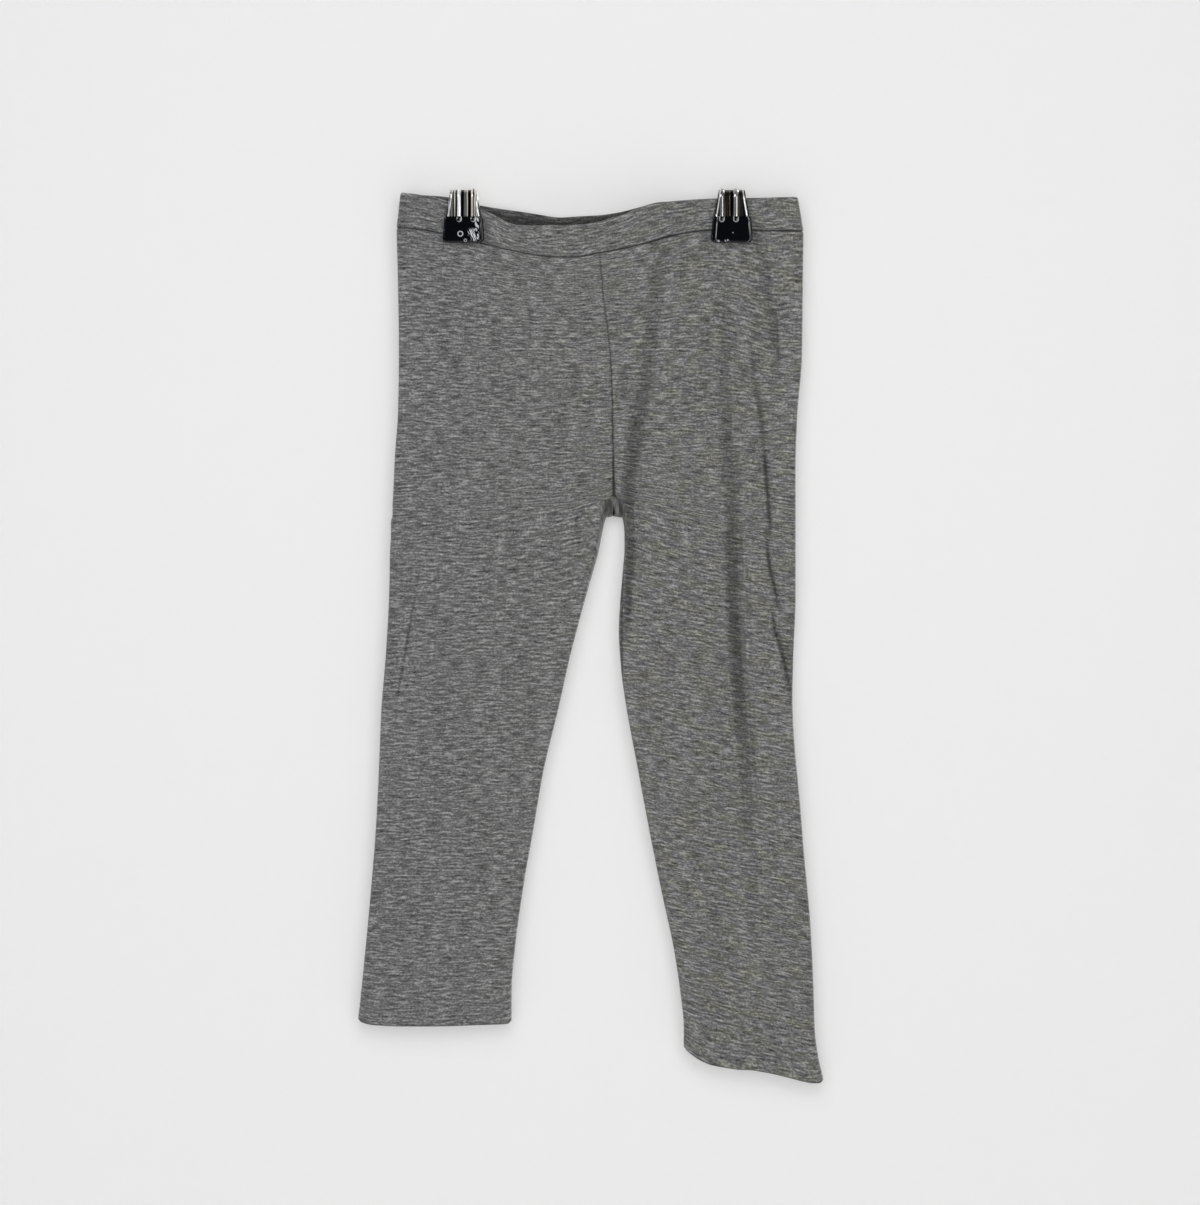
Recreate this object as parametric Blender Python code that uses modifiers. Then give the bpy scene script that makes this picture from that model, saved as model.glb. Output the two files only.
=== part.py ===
"""Child's leggings hanging from two spring clips.

Metres, +Z up. The front faces -Y and the wearer's right leg is at -X. The origin lies midway
between the clips, on the axis of the rod that passes through the eye of each clip.

The garment is cut in three pieces: a waistband sewn into a ring, and one panel for each leg,
which runs from the centre-front seam round the outside of the leg to the centre-back seam and
meets itself at the inseam. Each clip is a bent steel spring with a dipped tip on each jaw.
"""
import math
from collections import namedtuple

import bmesh
import bpy
import numpy as np

# Cloth
SEAM_GAP = 0.0003
INSEAM_WELD = 0.00001
PANEL_WALL = 0.0015
BAND_WALL = 0.0020
FOLD_RADIUS = 0.0045
FULLNESS_REACH = 0.025
EDGE_FULLNESS = 0.6

# Waistband and waist seam: the front hangs lower than the back between the clips
SeamLine = namedtuple("SeamLine", "z_centre slope middle_x half_span front_sag back_sag")
WAIST_SEAM = SeamLine(-0.0234, -0.0075, -0.0185, 0.1075, 0.0162, 0.0125)
WAIST_SAG_FADE = 0.040
TopEdge = namedtuple("TopEdge", "z_centre slope front_sag front_half front_power back_sag back_half")
BAND_TOP = TopEdge(-0.0018, -0.0115, 0.0169, 0.0475, 5, 0.0125, 0.1000)
BandEdge = namedtuple("BandEdge", "rise left_x right_x front back")
BAND_EDGES = (
    BandEdge(0.0, -0.1255, 0.1290, 0.0085, 0.0055),
    BandEdge(1.0, -0.1230, 0.1255, 0.0115, 0.0065),
)

# Leg outlines: a row for each course of the cloth, from the waist seam down to the hem.
# Above the crotch the inner edge is where the thigh's fold would lie if the seam didn't cut it.
Course = namedtuple("Course", "down outer_x outer_z inner_x inner_z")
RIGHT_COURSES = (
    Course(0.0000, -0.1255, -0.0225, 0.1015, -0.0240),
    Course(0.0375, -0.1245, -0.0605, 0.0890, -0.0605),
    Course(0.0750, -0.1240, -0.0980, 0.0755, -0.0980),
    Course(0.1125, -0.1245, -0.1355, 0.0605, -0.1355),
    Course(0.1425, -0.1265, -0.1640, 0.0440, -0.1635),
    Course(0.1640, -0.1275, -0.1860, 0.0290, -0.1850),
    Course(0.1750, -0.1280, -0.1960, 0.0185, -0.1960),
    Course(0.1805, -0.1280, -0.2010, 0.0105, -0.2015),
    Course(0.1820, -0.1285, -0.2030, 0.0065, -0.2030),
    Course(0.1850, -0.1290, -0.2060, 0.0048, -0.2060),
    Course(0.1925, -0.1290, -0.2135, 0.0028, -0.2135),
    Course(0.2025, -0.1295, -0.2230, 0.0010, -0.2230),
    Course(0.2260, -0.1300, -0.2480, -0.0060, -0.2480),
    Course(0.2640, -0.1320, -0.2855, -0.0160, -0.2855),
    Course(0.3010, -0.1350, -0.3230, -0.0245, -0.3230),
    Course(0.3390, -0.1365, -0.3605, -0.0335, -0.3605),
    Course(0.3760, -0.1385, -0.3980, -0.0400, -0.3980),
    Course(0.4140, -0.1415, -0.4355, -0.0465, -0.4355),
    Course(0.4510, -0.1450, -0.4730, -0.0515, -0.4730),
    Course(0.4760, -0.1475, -0.4980, -0.0535, -0.4985),
    Course(0.4950, -0.1495, -0.5160, -0.0535, -0.5170),
)
LEFT_COURSES = (
    Course(0.0000, 0.1290, -0.0245, -0.0985, -0.0225),
    Course(0.0375, 0.1285, -0.0630, -0.0810, -0.0605),
    Course(0.0750, 0.1280, -0.1015, -0.0600, -0.0980),
    Course(0.1125, 0.1250, -0.1405, -0.0415, -0.1355),
    Course(0.1425, 0.1240, -0.1715, -0.0240, -0.1635),
    Course(0.1670, 0.1240, -0.1975, -0.0085, -0.1850),
    Course(0.1790, 0.1240, -0.2080, 0.0025, -0.1960),
    Course(0.1855, 0.1240, -0.2140, 0.0105, -0.2015),
    Course(0.1875, 0.1240, -0.2155, 0.0145, -0.2030),
    Course(0.1910, 0.1240, -0.2185, 0.0162, -0.2060),
    Course(0.2000, 0.1240, -0.2265, 0.0170, -0.2135),
    Course(0.2125, 0.1240, -0.2385, 0.0170, -0.2240),
    Course(0.2260, 0.1240, -0.2520, 0.0160, -0.2355),
    Course(0.2640, 0.1225, -0.2895, 0.0135, -0.2730),
    Course(0.2890, 0.1220, -0.3145, 0.0150, -0.2980),
    Course(0.3140, 0.1230, -0.3395, 0.0185, -0.3230),
    Course(0.3510, 0.1265, -0.3780, 0.0255, -0.3605),
    Course(0.3890, 0.1295, -0.4155, 0.0325, -0.3980),
    Course(0.4260, 0.1330, -0.4535, 0.0400, -0.4355),
    Course(0.4640, 0.1350, -0.4915, 0.0480, -0.4730),
    Course(0.4950, 0.1360, -0.5230, 0.0525, -0.5040),
    Course(0.5095, 0.1380, -0.5385, 0.0540, -0.5195),
    Course(0.5240, 0.1415, -0.5540, 0.0540, -0.5335),
)

# Centre-front and centre-back seams share one line, bent a little towards the wearer's left
SeamPoint = namedtuple("SeamPoint", "z x")
CENTRE_SEAM = (
    SeamPoint(-0.2100, 0.0105),
    SeamPoint(-0.1665, 0.0100),
    SeamPoint(-0.1135, 0.0090),
    SeamPoint(-0.0855, 0.0070),
    SeamPoint(-0.0605, 0.0040),
    SeamPoint(-0.0235, 0.0015),
)

# How far the front and the back stand out from the middle plane
Fullness = namedtuple("Fullness", "z front back")
FULLNESS = (
    Fullness(-0.5600, 0.0055, 0.0055),
    Fullness(-0.4100, 0.0060, 0.0060),
    Fullness(-0.2850, 0.0070, 0.0065),
    Fullness(-0.1980, 0.0065, 0.0070),
    Fullness(-0.1300, 0.0070, 0.0070),
    Fullness(-0.0665, 0.0080, 0.0065),
    Fullness(-0.0235, 0.0085, 0.0055),
)

# The crotch seam rises from the fold to the front, by its depth times the lift, and less behind
CROTCH_Z = -0.2015
FRONT_LIFT = 2.3
BACK_LIFT = 0.3
CROTCH_LIFT_HEIGHT = 0.035
CROTCH_LIFT_REACH = 0.030

# Turned hem: the cloth hangs a little below the line between its two folds
HEM_FADE = 0.020
HEM_CORNER_POWER = 8
HEM_BUMP_AT = 0.2
HEM_BUMP_SPREAD = 0.13

Leg = namedtuple("Leg", "name courses inwards hem_drop hem_bump front_columns back_columns")
LEGS = (
    Leg("leg_panel_right", RIGHT_COURSES, 1, 0.0032, 0.0, 16, 12),
    Leg("leg_panel_left", LEFT_COURSES, -1, 0.0036, 0.0036, 22, 12),
)
LONGEST_COURSE_STEP = 0.0205
LEG_CROWDING = 0.5
BAND_CROWDING = 0.25
BAND_ROWS = 4
BAND_FRONT_COLUMNS = 40
BAND_BACK_COLUMNS = 28

# Largest folds: a trough through three points, with its depth at each of them
Fold = namedtuple("Fold", "name side x0 z0 depth0 x1 z1 depth1 x2 z2 depth2 half_width")
FRONT, BACK = -1, 1
FOLD_END = 0.025
SEAM_CALM = 0.006
FOLDS = (
    Fold("crotch_drag", FRONT, 0.0400, -0.043, 0.0010, 0.0305, -0.117, 0.0024,
         0.0215, -0.201, 0.0032, 0.0050),
    Fold("long_thigh", FRONT, 0.0780, -0.051, 0.0008, 0.0825, -0.192, 0.0024,
         0.0955, -0.395, 0.0010, 0.0045),
    Fold("clip_drag", FRONT, 0.1040, -0.045, 0.0014, 0.1100, -0.079, 0.0014,
         0.1130, -0.110, 0.0006, 0.0045),
    Fold("side_crease", FRONT, 0.1000, -0.098, 0.0005, 0.1090, -0.204, 0.0012,
         0.1190, -0.305, 0.0012, 0.0040),
    Fold("seat_left", BACK, 0.0420, -0.060, 0.0010, 0.0320, -0.120, 0.0020,
         0.0250, -0.195, 0.0026, 0.0055),
    Fold("seat_right", BACK, -0.0260, -0.070, 0.0008, -0.0140, -0.130, 0.0015,
         -0.0070, -0.180, 0.0022, 0.0050),
    Fold("knee_left", BACK, 0.0850, -0.190, 0.0006, 0.0800, -0.280, 0.0020,
         0.0880, -0.380, 0.0008, 0.0055),
    Fold("knee_right", BACK, -0.0750, -0.220, 0.0005, -0.0820, -0.310, 0.0016,
         -0.0880, -0.400, 0.0006, 0.0055),
)

# Clips
CLIP_X = (-0.0835, 0.0840)
CLIP_NAMES = ("clip_right", "clip_left")
STEEL = 0.0009
ROD_RADIUS = 0.0025
EYE_INNER_RADIUS = 0.0050
EYE_CENTRE_Z = ROD_RADIUS - EYE_INNER_RADIUS
EYE_STEPS = 8
GRIP = BAND_WALL + SEAM_GAP / 2
TIP_THICKNESS = 0.0036
TIP_INNER_Y = GRIP + SEAM_GAP
TIP_Y = TIP_INNER_Y + TIP_THICKNESS / 2
TIP_TOP_Z = -0.0148
TIP_BOTTOM_Z = -0.0310
TIP_TOP_WIDTH = 0.0236
TIP_BOTTOM_WIDTH = 0.0260
TIP_ROUNDING = 0.0011
SPRING_END_Z = -0.0190
SPRING_EYE_WIDTH = 0.0164
SPRING_SHOULDER_WIDTH = 0.0170
SPRING_TIP_WIDTH = 0.0222
RIB_X = 0.0045
RIB_HALF_WIDTH = 0.0020
RIB_HEIGHT = 0.0006
RIB_END_Z = -0.0135
FLANGE_WIDTH = 0.0014
FLANGE_DEPTH = 0.0010
SHAPE_FADE = 0.0045
PINCH_HALF_WIDTH = 0.0150
PINCH_SPREAD = 0.020
PINCH_BOTTOM_Z = -0.034
PINCH_FADE_Z = -0.150

Finish = namedtuple("Finish", "colour roughness metallic")
JERSEY = Finish((0.150, 0.150, 0.147, 1.0), 0.95, 0.0)
STEEL_FINISH = Finish((0.62, 0.62, 0.62, 1.0), 0.18, 1.0)
DIP_FINISH = Finish((0.010, 0.011, 0.013, 1.0), 0.25, 0.0)


def clear_scene():
    for leftover in list(bpy.data.objects):
        bpy.data.objects.remove(leftover, do_unlink=True)


def new_collection(name):
    collection = bpy.data.collections.new(name)
    bpy.context.scene.collection.children.link(collection)
    return collection


def new_material(name, finish):
    material = bpy.data.materials.new(name)
    material.use_nodes = True
    shader = material.node_tree.nodes["Principled BSDF"]
    shader.inputs["Base Color"].default_value = finish.colour
    shader.inputs["Roughness"].default_value = finish.roughness
    shader.inputs["Metallic"].default_value = finish.metallic
    return material


def column(rows, name):
    return np.array([getattr(row, name) for row in rows])


def smooth(knots, values, at):
    """Cubic through a table's column that never overshoots between two of its rows."""
    step = np.diff(knots)
    slope = np.diff(values) / step
    before, after = slope[:-1], slope[1:]
    tangent = np.concatenate([slope[:1], np.zeros(len(before)), slope[-1:]])
    turning = before * after <= 0
    steepness = np.where(turning, 1.0, before + after)
    tangent[1:-1] = np.where(turning, 0.0, 2 * before * after / steepness)
    at = np.clip(at, knots[0], knots[-1])
    cell = np.clip(np.searchsorted(knots, at, side="right") - 1, 0, len(step) - 1)
    t = (at - knots[cell]) / step[cell]
    start = (1 + 2 * t) * (1 - t) ** 2 * values[cell]
    start = start + t * (1 - t) ** 2 * step[cell] * tangent[cell]
    end = t * t * (3 - 2 * t) * values[cell + 1]
    end = end + t * t * (t - 1) * step[cell] * tangent[cell + 1]
    return start + end


def ease(t):
    t = np.clip(t, 0.0, 1.0)
    return t * t * (3 - 2 * t)


def bell(x, middle, half_span):
    """1 at the middle, falling smoothly to 0 at half a span on either side."""
    reach = np.clip(np.abs(x - middle) / half_span, 0.0, 1.0)
    return np.cos(reach * math.pi / 2) ** 2


def fold_path(width, stop, share):
    """Across a flattened tube, from its outer fold: the distance across and the rounding.

    share runs along the cloth from 0 at the outer fold to 1 where the path stops. The rounding
    is 0 on a fold's outermost line and 1 on the flat between the two folds.
    """
    quarter = FOLD_RADIUS * math.pi / 2
    flat = width - 2 * FOLD_RADIUS
    past_flat = np.clip((stop - width + FOLD_RADIUS) / FOLD_RADIUS, 0.0, 1.0)
    flat_part = np.minimum(stop - FOLD_RADIUS, flat)
    length = quarter + flat_part + FOLD_RADIUS * np.arcsin(past_flat)
    along = share * length
    outer_turn = np.clip(along / FOLD_RADIUS, 0.0, math.pi / 2)
    inner_turn = np.clip((along - quarter - flat) / FOLD_RADIUS, 0.0, math.pi / 2)
    across = FOLD_RADIUS * (1 - np.cos(outer_turn))
    across = across + np.clip(along - quarter, 0.0, flat) + FOLD_RADIUS * np.sin(inner_turn)
    return across, np.sin(outer_turn) * np.cos(inner_turn)


def fullness(front, back, side, from_outer, from_inner):
    """Half depth of the garment, thinner towards its folds than in the middle."""
    middle = np.where(side == FRONT, front, back)
    outer_part = 1 - np.exp(-np.maximum(from_outer, 0) / FULLNESS_REACH)
    inner_part = 1 - np.exp(-np.maximum(from_inner, 0) / FULLNESS_REACH)
    return middle * (EDGE_FULLNESS + (1 - EDGE_FULLNESS) * outer_part * inner_part)


def pinch(depth, x, z):
    """Half depth after the clips have pressed the front and the back together."""
    below = ease((z - PINCH_FADE_Z) / (PINCH_BOTTOM_Z - PINCH_FADE_Z))
    pressed = np.zeros_like(depth)
    for clip_x in CLIP_X:
        beyond = np.maximum(np.abs(x - clip_x) - PINCH_HALF_WIDTH, 0.0)
        pressed = np.maximum(pressed, np.exp(-(beyond / PINCH_SPREAD) ** 2) * below)
    return depth + (GRIP - depth) * pressed


def trough_depth(x, z, side):
    """How far the folds push the cloth in at a point; the centre seams stay smooth."""
    total = np.zeros_like(x)
    seam_x = smooth(column(CENTRE_SEAM, "z"), column(CENTRE_SEAM, "x"), z)
    calm = np.where(z > CROTCH_Z, np.exp(-((x - seam_x) / SEAM_CALM) ** 2), 0.0)
    for fold in FOLDS:
        knots = np.array([fold.z2, fold.z1, fold.z0])
        path_x = smooth(knots, np.array([fold.x2, fold.x1, fold.x0]), z)
        depth = smooth(knots, np.array([fold.depth2, fold.depth1, fold.depth0]), z)
        ends = ease((fold.z0 + FOLD_END - z) / FOLD_END) * ease((z - fold.z2 + FOLD_END) / FOLD_END)
        across = np.exp(-((x - path_x) / fold.half_width) ** 2)
        total = total + np.where(side == fold.side, depth * ends * across, 0.0)
    return total * (1 - calm)


def waist_seam_sag(x, side):
    sag = np.where(side == FRONT, WAIST_SEAM.front_sag, WAIST_SEAM.back_sag)
    return sag * bell(x, WAIST_SEAM.middle_x, WAIST_SEAM.half_span)


def hem_drop(leg, share_from_inner):
    corner = 1 - np.abs(2 * share_from_inner - 1) ** HEM_CORNER_POWER
    bump = np.exp(-((share_from_inner - HEM_BUMP_AT) / HEM_BUMP_SPREAD) ** 2)
    return leg.hem_drop * corner + leg.hem_bump * bump * corner


def leg_points(leg, down, around):
    """Outer face of a leg panel, a grid of points.

    down is the distance below the waist seam. around runs from -1 at the front seam through 0 at
    the outer fold to 1 at the back seam.
    """
    down = down[:, None]
    around = around[None, :]
    knots = column(leg.courses, "down")
    outer_x, outer_z, inner_x, inner_z = (
        smooth(knots, column(leg.courses, name), down)
        for name in ("outer_x", "outer_z", "inner_x", "inner_z")
    )
    width = np.abs(inner_x - outer_x)
    side = np.where(around < 0, FRONT, BACK)
    seam_x = smooth(column(CENTRE_SEAM, "z"), column(CENTRE_SEAM, "x"), inner_z)
    stop = np.minimum(width, np.abs(seam_x - outer_x) - SEAM_GAP / 2)
    across, rounding = fold_path(width, stop, np.abs(around))
    share = across / width
    x = outer_x + leg.inwards * across
    course_z = outer_z + (inner_z - outer_z) * share

    heights = column(FULLNESS, "z")
    front = smooth(heights, column(FULLNESS, "front"), course_z)
    back = smooth(heights, column(FULLNESS, "back"), course_z)
    depth = fullness(front, back, side, across, width - across)
    depth = pinch(depth, x, course_z) * rounding

    near_crotch = np.exp(-((course_z - CROTCH_Z) / CROTCH_LIFT_HEIGHT) ** 2)
    near_crotch = near_crotch * np.exp(-(width - across) / CROTCH_LIFT_REACH)
    above_hem = knots[-1] - down
    lift = np.where(side == FRONT, FRONT_LIFT, -BACK_LIFT)
    z = course_z + lift * depth * near_crotch
    z = z - waist_seam_sag(x, side) * np.exp(-down / WAIST_SAG_FADE)
    z = z - hem_drop(leg, 1 - share) * np.exp(-above_hem / HEM_FADE)

    depth = depth - trough_depth(x, z, side) * rounding
    return np.stack(np.broadcast_arrays(x, side * depth, z), axis=-1)


def band_points(rise, around):
    """Outer face of the waistband ring; around goes 0 to 1 along the front, 1 to 2 along the back."""
    rise = rise[:, None]
    around = around[None, :]
    steps = column(BAND_EDGES, "rise")
    left_x, right_x, front, back = (
        np.interp(rise, steps, column(BAND_EDGES, name))
        for name in ("left_x", "right_x", "front", "back")
    )
    width = right_x - left_x
    side = np.where(around <= 1, FRONT, BACK)
    along = np.where(around <= 1, around, 2 - around)
    across, rounding = fold_path(width, width, along)
    x = left_x + across
    bottom_z = WAIST_SEAM.z_centre + WAIST_SEAM.slope * x - waist_seam_sag(x, side) + SEAM_GAP
    away = np.abs(x - WAIST_SEAM.middle_x) / BAND_TOP.front_half
    front_top_sag = BAND_TOP.front_sag / (1 + away ** BAND_TOP.front_power)
    back_top_sag = BAND_TOP.back_sag * bell(x, WAIST_SEAM.middle_x, BAND_TOP.back_half)
    top_sag = np.where(side == FRONT, front_top_sag, back_top_sag)
    top_z = BAND_TOP.z_centre + BAND_TOP.slope * x - top_sag
    z = bottom_z + (top_z - bottom_z) * rise
    depth = fullness(front, back, side, across, width - across)
    depth = pinch(depth, x, np.full_like(x, WAIST_SEAM.z_centre)) * rounding
    return np.stack(np.broadcast_arrays(x, side * depth, z), axis=-1)


def crowded(count, crowding):
    """Shares from 0 to 1, closer together at both ends, where the cloth turns."""
    even = np.arange(count + 1) / count
    return even - crowding * np.sin(2 * math.pi * even) / (2 * math.pi)


def course_steps(courses):
    """The courses' distances down the leg, with more between them where they lie far apart."""
    steps = [courses[0].down]
    for above, below in zip(courses, courses[1:]):
        parts = math.ceil((below.down - above.down) / LONGEST_COURSE_STEP)
        steps.extend(np.linspace(above.down, below.down, parts + 1)[1:])
    return np.array(steps)


def grid_mesh(name, points, closed, flipped):
    """A sheet of quads through a grid of points; points that coincide, as at an inseam, are joined."""
    rows, columns = points.shape[:2]
    sheet = bmesh.new()
    corners = [[sheet.verts.new(point) for point in row] for row in points]
    for upper, lower in zip(corners, corners[1:]):
        for start in range(columns if closed else columns - 1):
            end = (start + 1) % columns
            quad = (upper[start], upper[end], lower[end], lower[start])
            sheet.faces.new(quad[::-1] if flipped else quad)
    bmesh.ops.remove_doubles(sheet, verts=sheet.verts, dist=INSEAM_WELD)
    mesh = bpy.data.meshes.new(name)
    sheet.to_mesh(mesh)
    sheet.free()
    return mesh


def add_object(name, mesh, material, collection):
    piece = bpy.data.objects.new(name, mesh)
    mesh.materials.append(material)
    mesh.shade_smooth()
    collection.objects.link(piece)
    return piece


def add_wall(piece, thickness, offset):
    wall = piece.modifiers.new("wall", "SOLIDIFY")
    wall.thickness = thickness
    wall.offset = offset


def make_leg(leg, material, collection):
    down = course_steps(leg.courses)
    front = crowded(leg.front_columns, LEG_CROWDING)
    back = crowded(leg.back_columns, LEG_CROWDING)
    around = np.concatenate([-front[::-1], back[1:]])
    mesh = grid_mesh(leg.name, leg_points(leg, down, around), False, leg.inwards < 0)
    add_wall(add_object(leg.name, mesh, material, collection), PANEL_WALL, -1)


def make_waistband(material, collection):
    rise = np.linspace(1.0, 0.0, BAND_ROWS)
    front = crowded(BAND_FRONT_COLUMNS, BAND_CROWDING)
    back = crowded(BAND_BACK_COLUMNS, BAND_CROWDING)
    around = np.concatenate([front, 1 + back[1:-1]])
    mesh = grid_mesh("waistband", band_points(rise, around), True, True)
    add_wall(add_object("waistband", mesh, material, collection), BAND_WALL, -1)


def spring_path():
    """Side view of a clip's strip, front jaw up, over the eye and down the rear jaw."""
    radius = EYE_INNER_RADIUS + STEEL / 2
    straight = [(-TIP_Y, SPRING_END_Z), (-TIP_Y, TIP_TOP_Z), (-TIP_Y, RIB_END_Z)]
    shoulder = (-radius, EYE_CENTRE_Z)
    for part in (0.25, 0.5, 0.75):
        y = -TIP_Y + (shoulder[0] + TIP_Y) * part
        straight.append((y, RIB_END_Z + (EYE_CENTRE_Z - RIB_END_Z) * part))
    arc = []
    for step in range(EYE_STEPS + 1):
        turn = math.pi * step / EYE_STEPS
        arc.append((-radius * math.cos(turn), EYE_CENTRE_Z + radius * math.sin(turn)))
    return straight + arc + [(-y, z) for y, z in reversed(straight)]


def spring_width(z):
    levels = (SPRING_END_Z, TIP_TOP_Z, EYE_CENTRE_Z, EYE_CENTRE_Z + EYE_INNER_RADIUS)
    widths = (SPRING_TIP_WIDTH, SPRING_TIP_WIDTH, SPRING_SHOULDER_WIDTH, SPRING_EYE_WIDTH)
    return float(np.interp(z, levels, widths))


def spring_columns(width):
    """Places across the strip: its middle, both edges of each rib, and the flanges."""
    half = width / 2
    rib = [RIB_X + RIB_HALF_WIDTH * part for part in (-1, -0.5, 0, 0.5, 1)]
    right = rib + [half - FLANGE_WIDTH * (1 - part) for part in (0, 0.6, 1)]
    return [-x for x in reversed(right)] + [0.0] + right


def make_spring(name, clip_x, material, collection):
    path = spring_path()
    eye_top = max(z for y, z in path)
    points = []
    for place, (y, z) in enumerate(path):
        before = path[max(place - 1, 0)]
        after = path[min(place + 1, len(path) - 1)]
        along = (after[0] - before[0], after[1] - before[1])
        length = math.hypot(*along)
        outward = (-along[1] / length, along[0] / length)
        width = spring_width(z)
        shaped = 0.0 if z < RIB_END_Z - SEAM_GAP else min(1.0, (eye_top - z) / SHAPE_FADE)
        row = []
        for x in spring_columns(width):
            rib = max(0.0, 1 - ((abs(x) - RIB_X) / RIB_HALF_WIDTH) ** 2) * RIB_HEIGHT
            edge = max(0.0, (abs(x) - width / 2 + FLANGE_WIDTH) / FLANGE_WIDTH)
            push = (rib - FLANGE_DEPTH * edge * edge) * shaped
            row.append((clip_x + x, y + outward[0] * push, z + outward[1] * push))
        points.append(row)
    mesh = grid_mesh(name, np.array(points), False, False)
    add_wall(add_object(name, mesh, material, collection), STEEL, 0)


def tapered_block(name, size, top_share, centre):
    """A box whose top is narrower than its bottom, by the share given."""
    block = bmesh.new()
    bmesh.ops.create_cube(block, size=1.0)
    for corner in block.verts:
        narrow = top_share if corner.co.z > 0 else 1.0
        corner.co.x *= size[0] * narrow
        corner.co.y *= size[1]
        corner.co.z *= size[2]
    mesh = bpy.data.meshes.new(name)
    block.to_mesh(mesh)
    block.free()
    piece = bpy.data.objects.new(name, mesh)
    piece.location = centre
    return piece


def make_tip(name, clip_x, side, material, collection, cutters):
    """Dipped tip of one jaw, with a slot in its top for the strip's end."""
    height = TIP_TOP_Z - TIP_BOTTOM_Z
    centre = (clip_x, side * TIP_Y, (TIP_TOP_Z + TIP_BOTTOM_Z) / 2)
    size = (TIP_BOTTOM_WIDTH, TIP_THICKNESS, height)
    tip = tapered_block(name, size, TIP_TOP_WIDTH / TIP_BOTTOM_WIDTH, centre)
    tip.data.materials.append(material)
    collection.objects.link(tip)
    slot_depth = TIP_TOP_Z - SPRING_END_Z + SEAM_GAP
    slot_size = (SPRING_TIP_WIDTH + 2 * SEAM_GAP, STEEL + 2 * SEAM_GAP, 2 * slot_depth)
    slot = tapered_block(name + "_slot", slot_size, 1.0, (clip_x, side * TIP_Y, TIP_TOP_Z))
    slot.hide_render = True
    slot.display_type = "WIRE"
    cutters.objects.link(slot)
    rounding = tip.modifiers.new("rounding", "BEVEL")
    rounding.width = TIP_ROUNDING
    rounding.segments = 3
    cut = tip.modifiers.new("slot", "BOOLEAN")
    cut.operation = "DIFFERENCE"
    cut.object = slot
    tip.data.shade_smooth()


def main():
    clear_scene()
    garment = new_collection("leggings on hanger clips")
    cutters = new_collection("cutters")
    jersey = new_material("heather jersey", JERSEY)
    steel = new_material("polished steel", STEEL_FINISH)
    dip = new_material("black dip", DIP_FINISH)
    for leg in LEGS:
        make_leg(leg, jersey, garment)
    make_waistband(jersey, garment)
    for name, clip_x in zip(CLIP_NAMES, CLIP_X):
        make_spring(name + "_spring", clip_x, steel, garment)
        make_tip(name + "_tip_front", clip_x, FRONT, dip, garment, cutters)
        make_tip(name + "_tip_back", clip_x, BACK, dip, garment, cutters)


main()
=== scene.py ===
# %% [markdown]
# # Child's leggings on two hanger clips
#
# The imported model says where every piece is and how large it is. This script gives the looks: a
# fine shell of heather jersey over each cloth solid, with its creases, seams and stitches, and the
# plated steel and black dip of the clips. Sizes are in metres, except in the long tables, which
# are in millimetres. +Z is up, and the garment's front faces -Y. The wearer's right leg is at -X.

import math
from collections import namedtuple

import bmesh
import bpy
import numpy as np
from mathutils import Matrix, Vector


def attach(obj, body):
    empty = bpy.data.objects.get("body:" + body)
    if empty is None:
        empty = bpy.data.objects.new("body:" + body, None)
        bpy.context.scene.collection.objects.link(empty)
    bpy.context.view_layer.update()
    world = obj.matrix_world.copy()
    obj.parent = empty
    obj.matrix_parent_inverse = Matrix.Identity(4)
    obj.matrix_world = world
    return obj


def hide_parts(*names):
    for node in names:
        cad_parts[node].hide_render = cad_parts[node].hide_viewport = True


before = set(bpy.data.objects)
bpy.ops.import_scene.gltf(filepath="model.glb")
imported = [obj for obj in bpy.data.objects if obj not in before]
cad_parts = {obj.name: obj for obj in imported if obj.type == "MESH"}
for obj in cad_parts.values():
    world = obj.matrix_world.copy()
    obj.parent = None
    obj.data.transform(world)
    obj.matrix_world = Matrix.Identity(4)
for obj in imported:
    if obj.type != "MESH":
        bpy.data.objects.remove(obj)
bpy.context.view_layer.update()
print("packed nodes:", sorted(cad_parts))

# %% [markdown]
# ## Camera and room
#
# A flat, hanging garment is best seen straight on, from far enough away that its hem and its waist
# are drawn at one scale. The room is a pale floor that sweeps up into a wall close behind, which
# catches the soft shadow that says how flat the garment is. The sweep is seen from one side only:
# from behind it lets the view and the light through, so the back of the garment can be studied too.

# %% Camera
CAMERA_DISTANCE = 3.0
VIEW_CENTRE = (0.0017, -0.2556)
VIEW_HEIGHT = 0.7531
SENSOR_MM = 36.0


def link_object(name, data):
    """An object for the data given, in the scene."""
    thing = bpy.data.objects.new(name, data)
    bpy.context.scene.collection.objects.link(thing)
    return thing


def add_camera():
    data = bpy.data.cameras.new("camera")
    data.sensor_fit = "VERTICAL"
    data.sensor_width = SENSOR_MM
    data.sensor_height = SENSOR_MM
    data.lens = SENSOR_MM * CAMERA_DISTANCE / VIEW_HEIGHT
    camera = link_object("camera", data)
    camera.location = (VIEW_CENTRE[0], -CAMERA_DISTANCE, VIEW_CENTRE[1])
    camera.rotation_euler = (math.pi / 2, 0, 0)
    bpy.context.scene.camera = camera
    print("lens in mm:", round(data.lens, 1))


add_camera()
bpy.context.scene.view_settings.view_transform = "Standard"

# %% [markdown]
# ## Writing shader maths as sums
#
# A material's node tree is easier to read as a formula than as a list of links. `Wire` stands for
# an output socket, and Python's own operators on it add the Math nodes. Every other node comes
# from `add_node`, which takes the node's type, its settings and what goes into its sockets.

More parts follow.
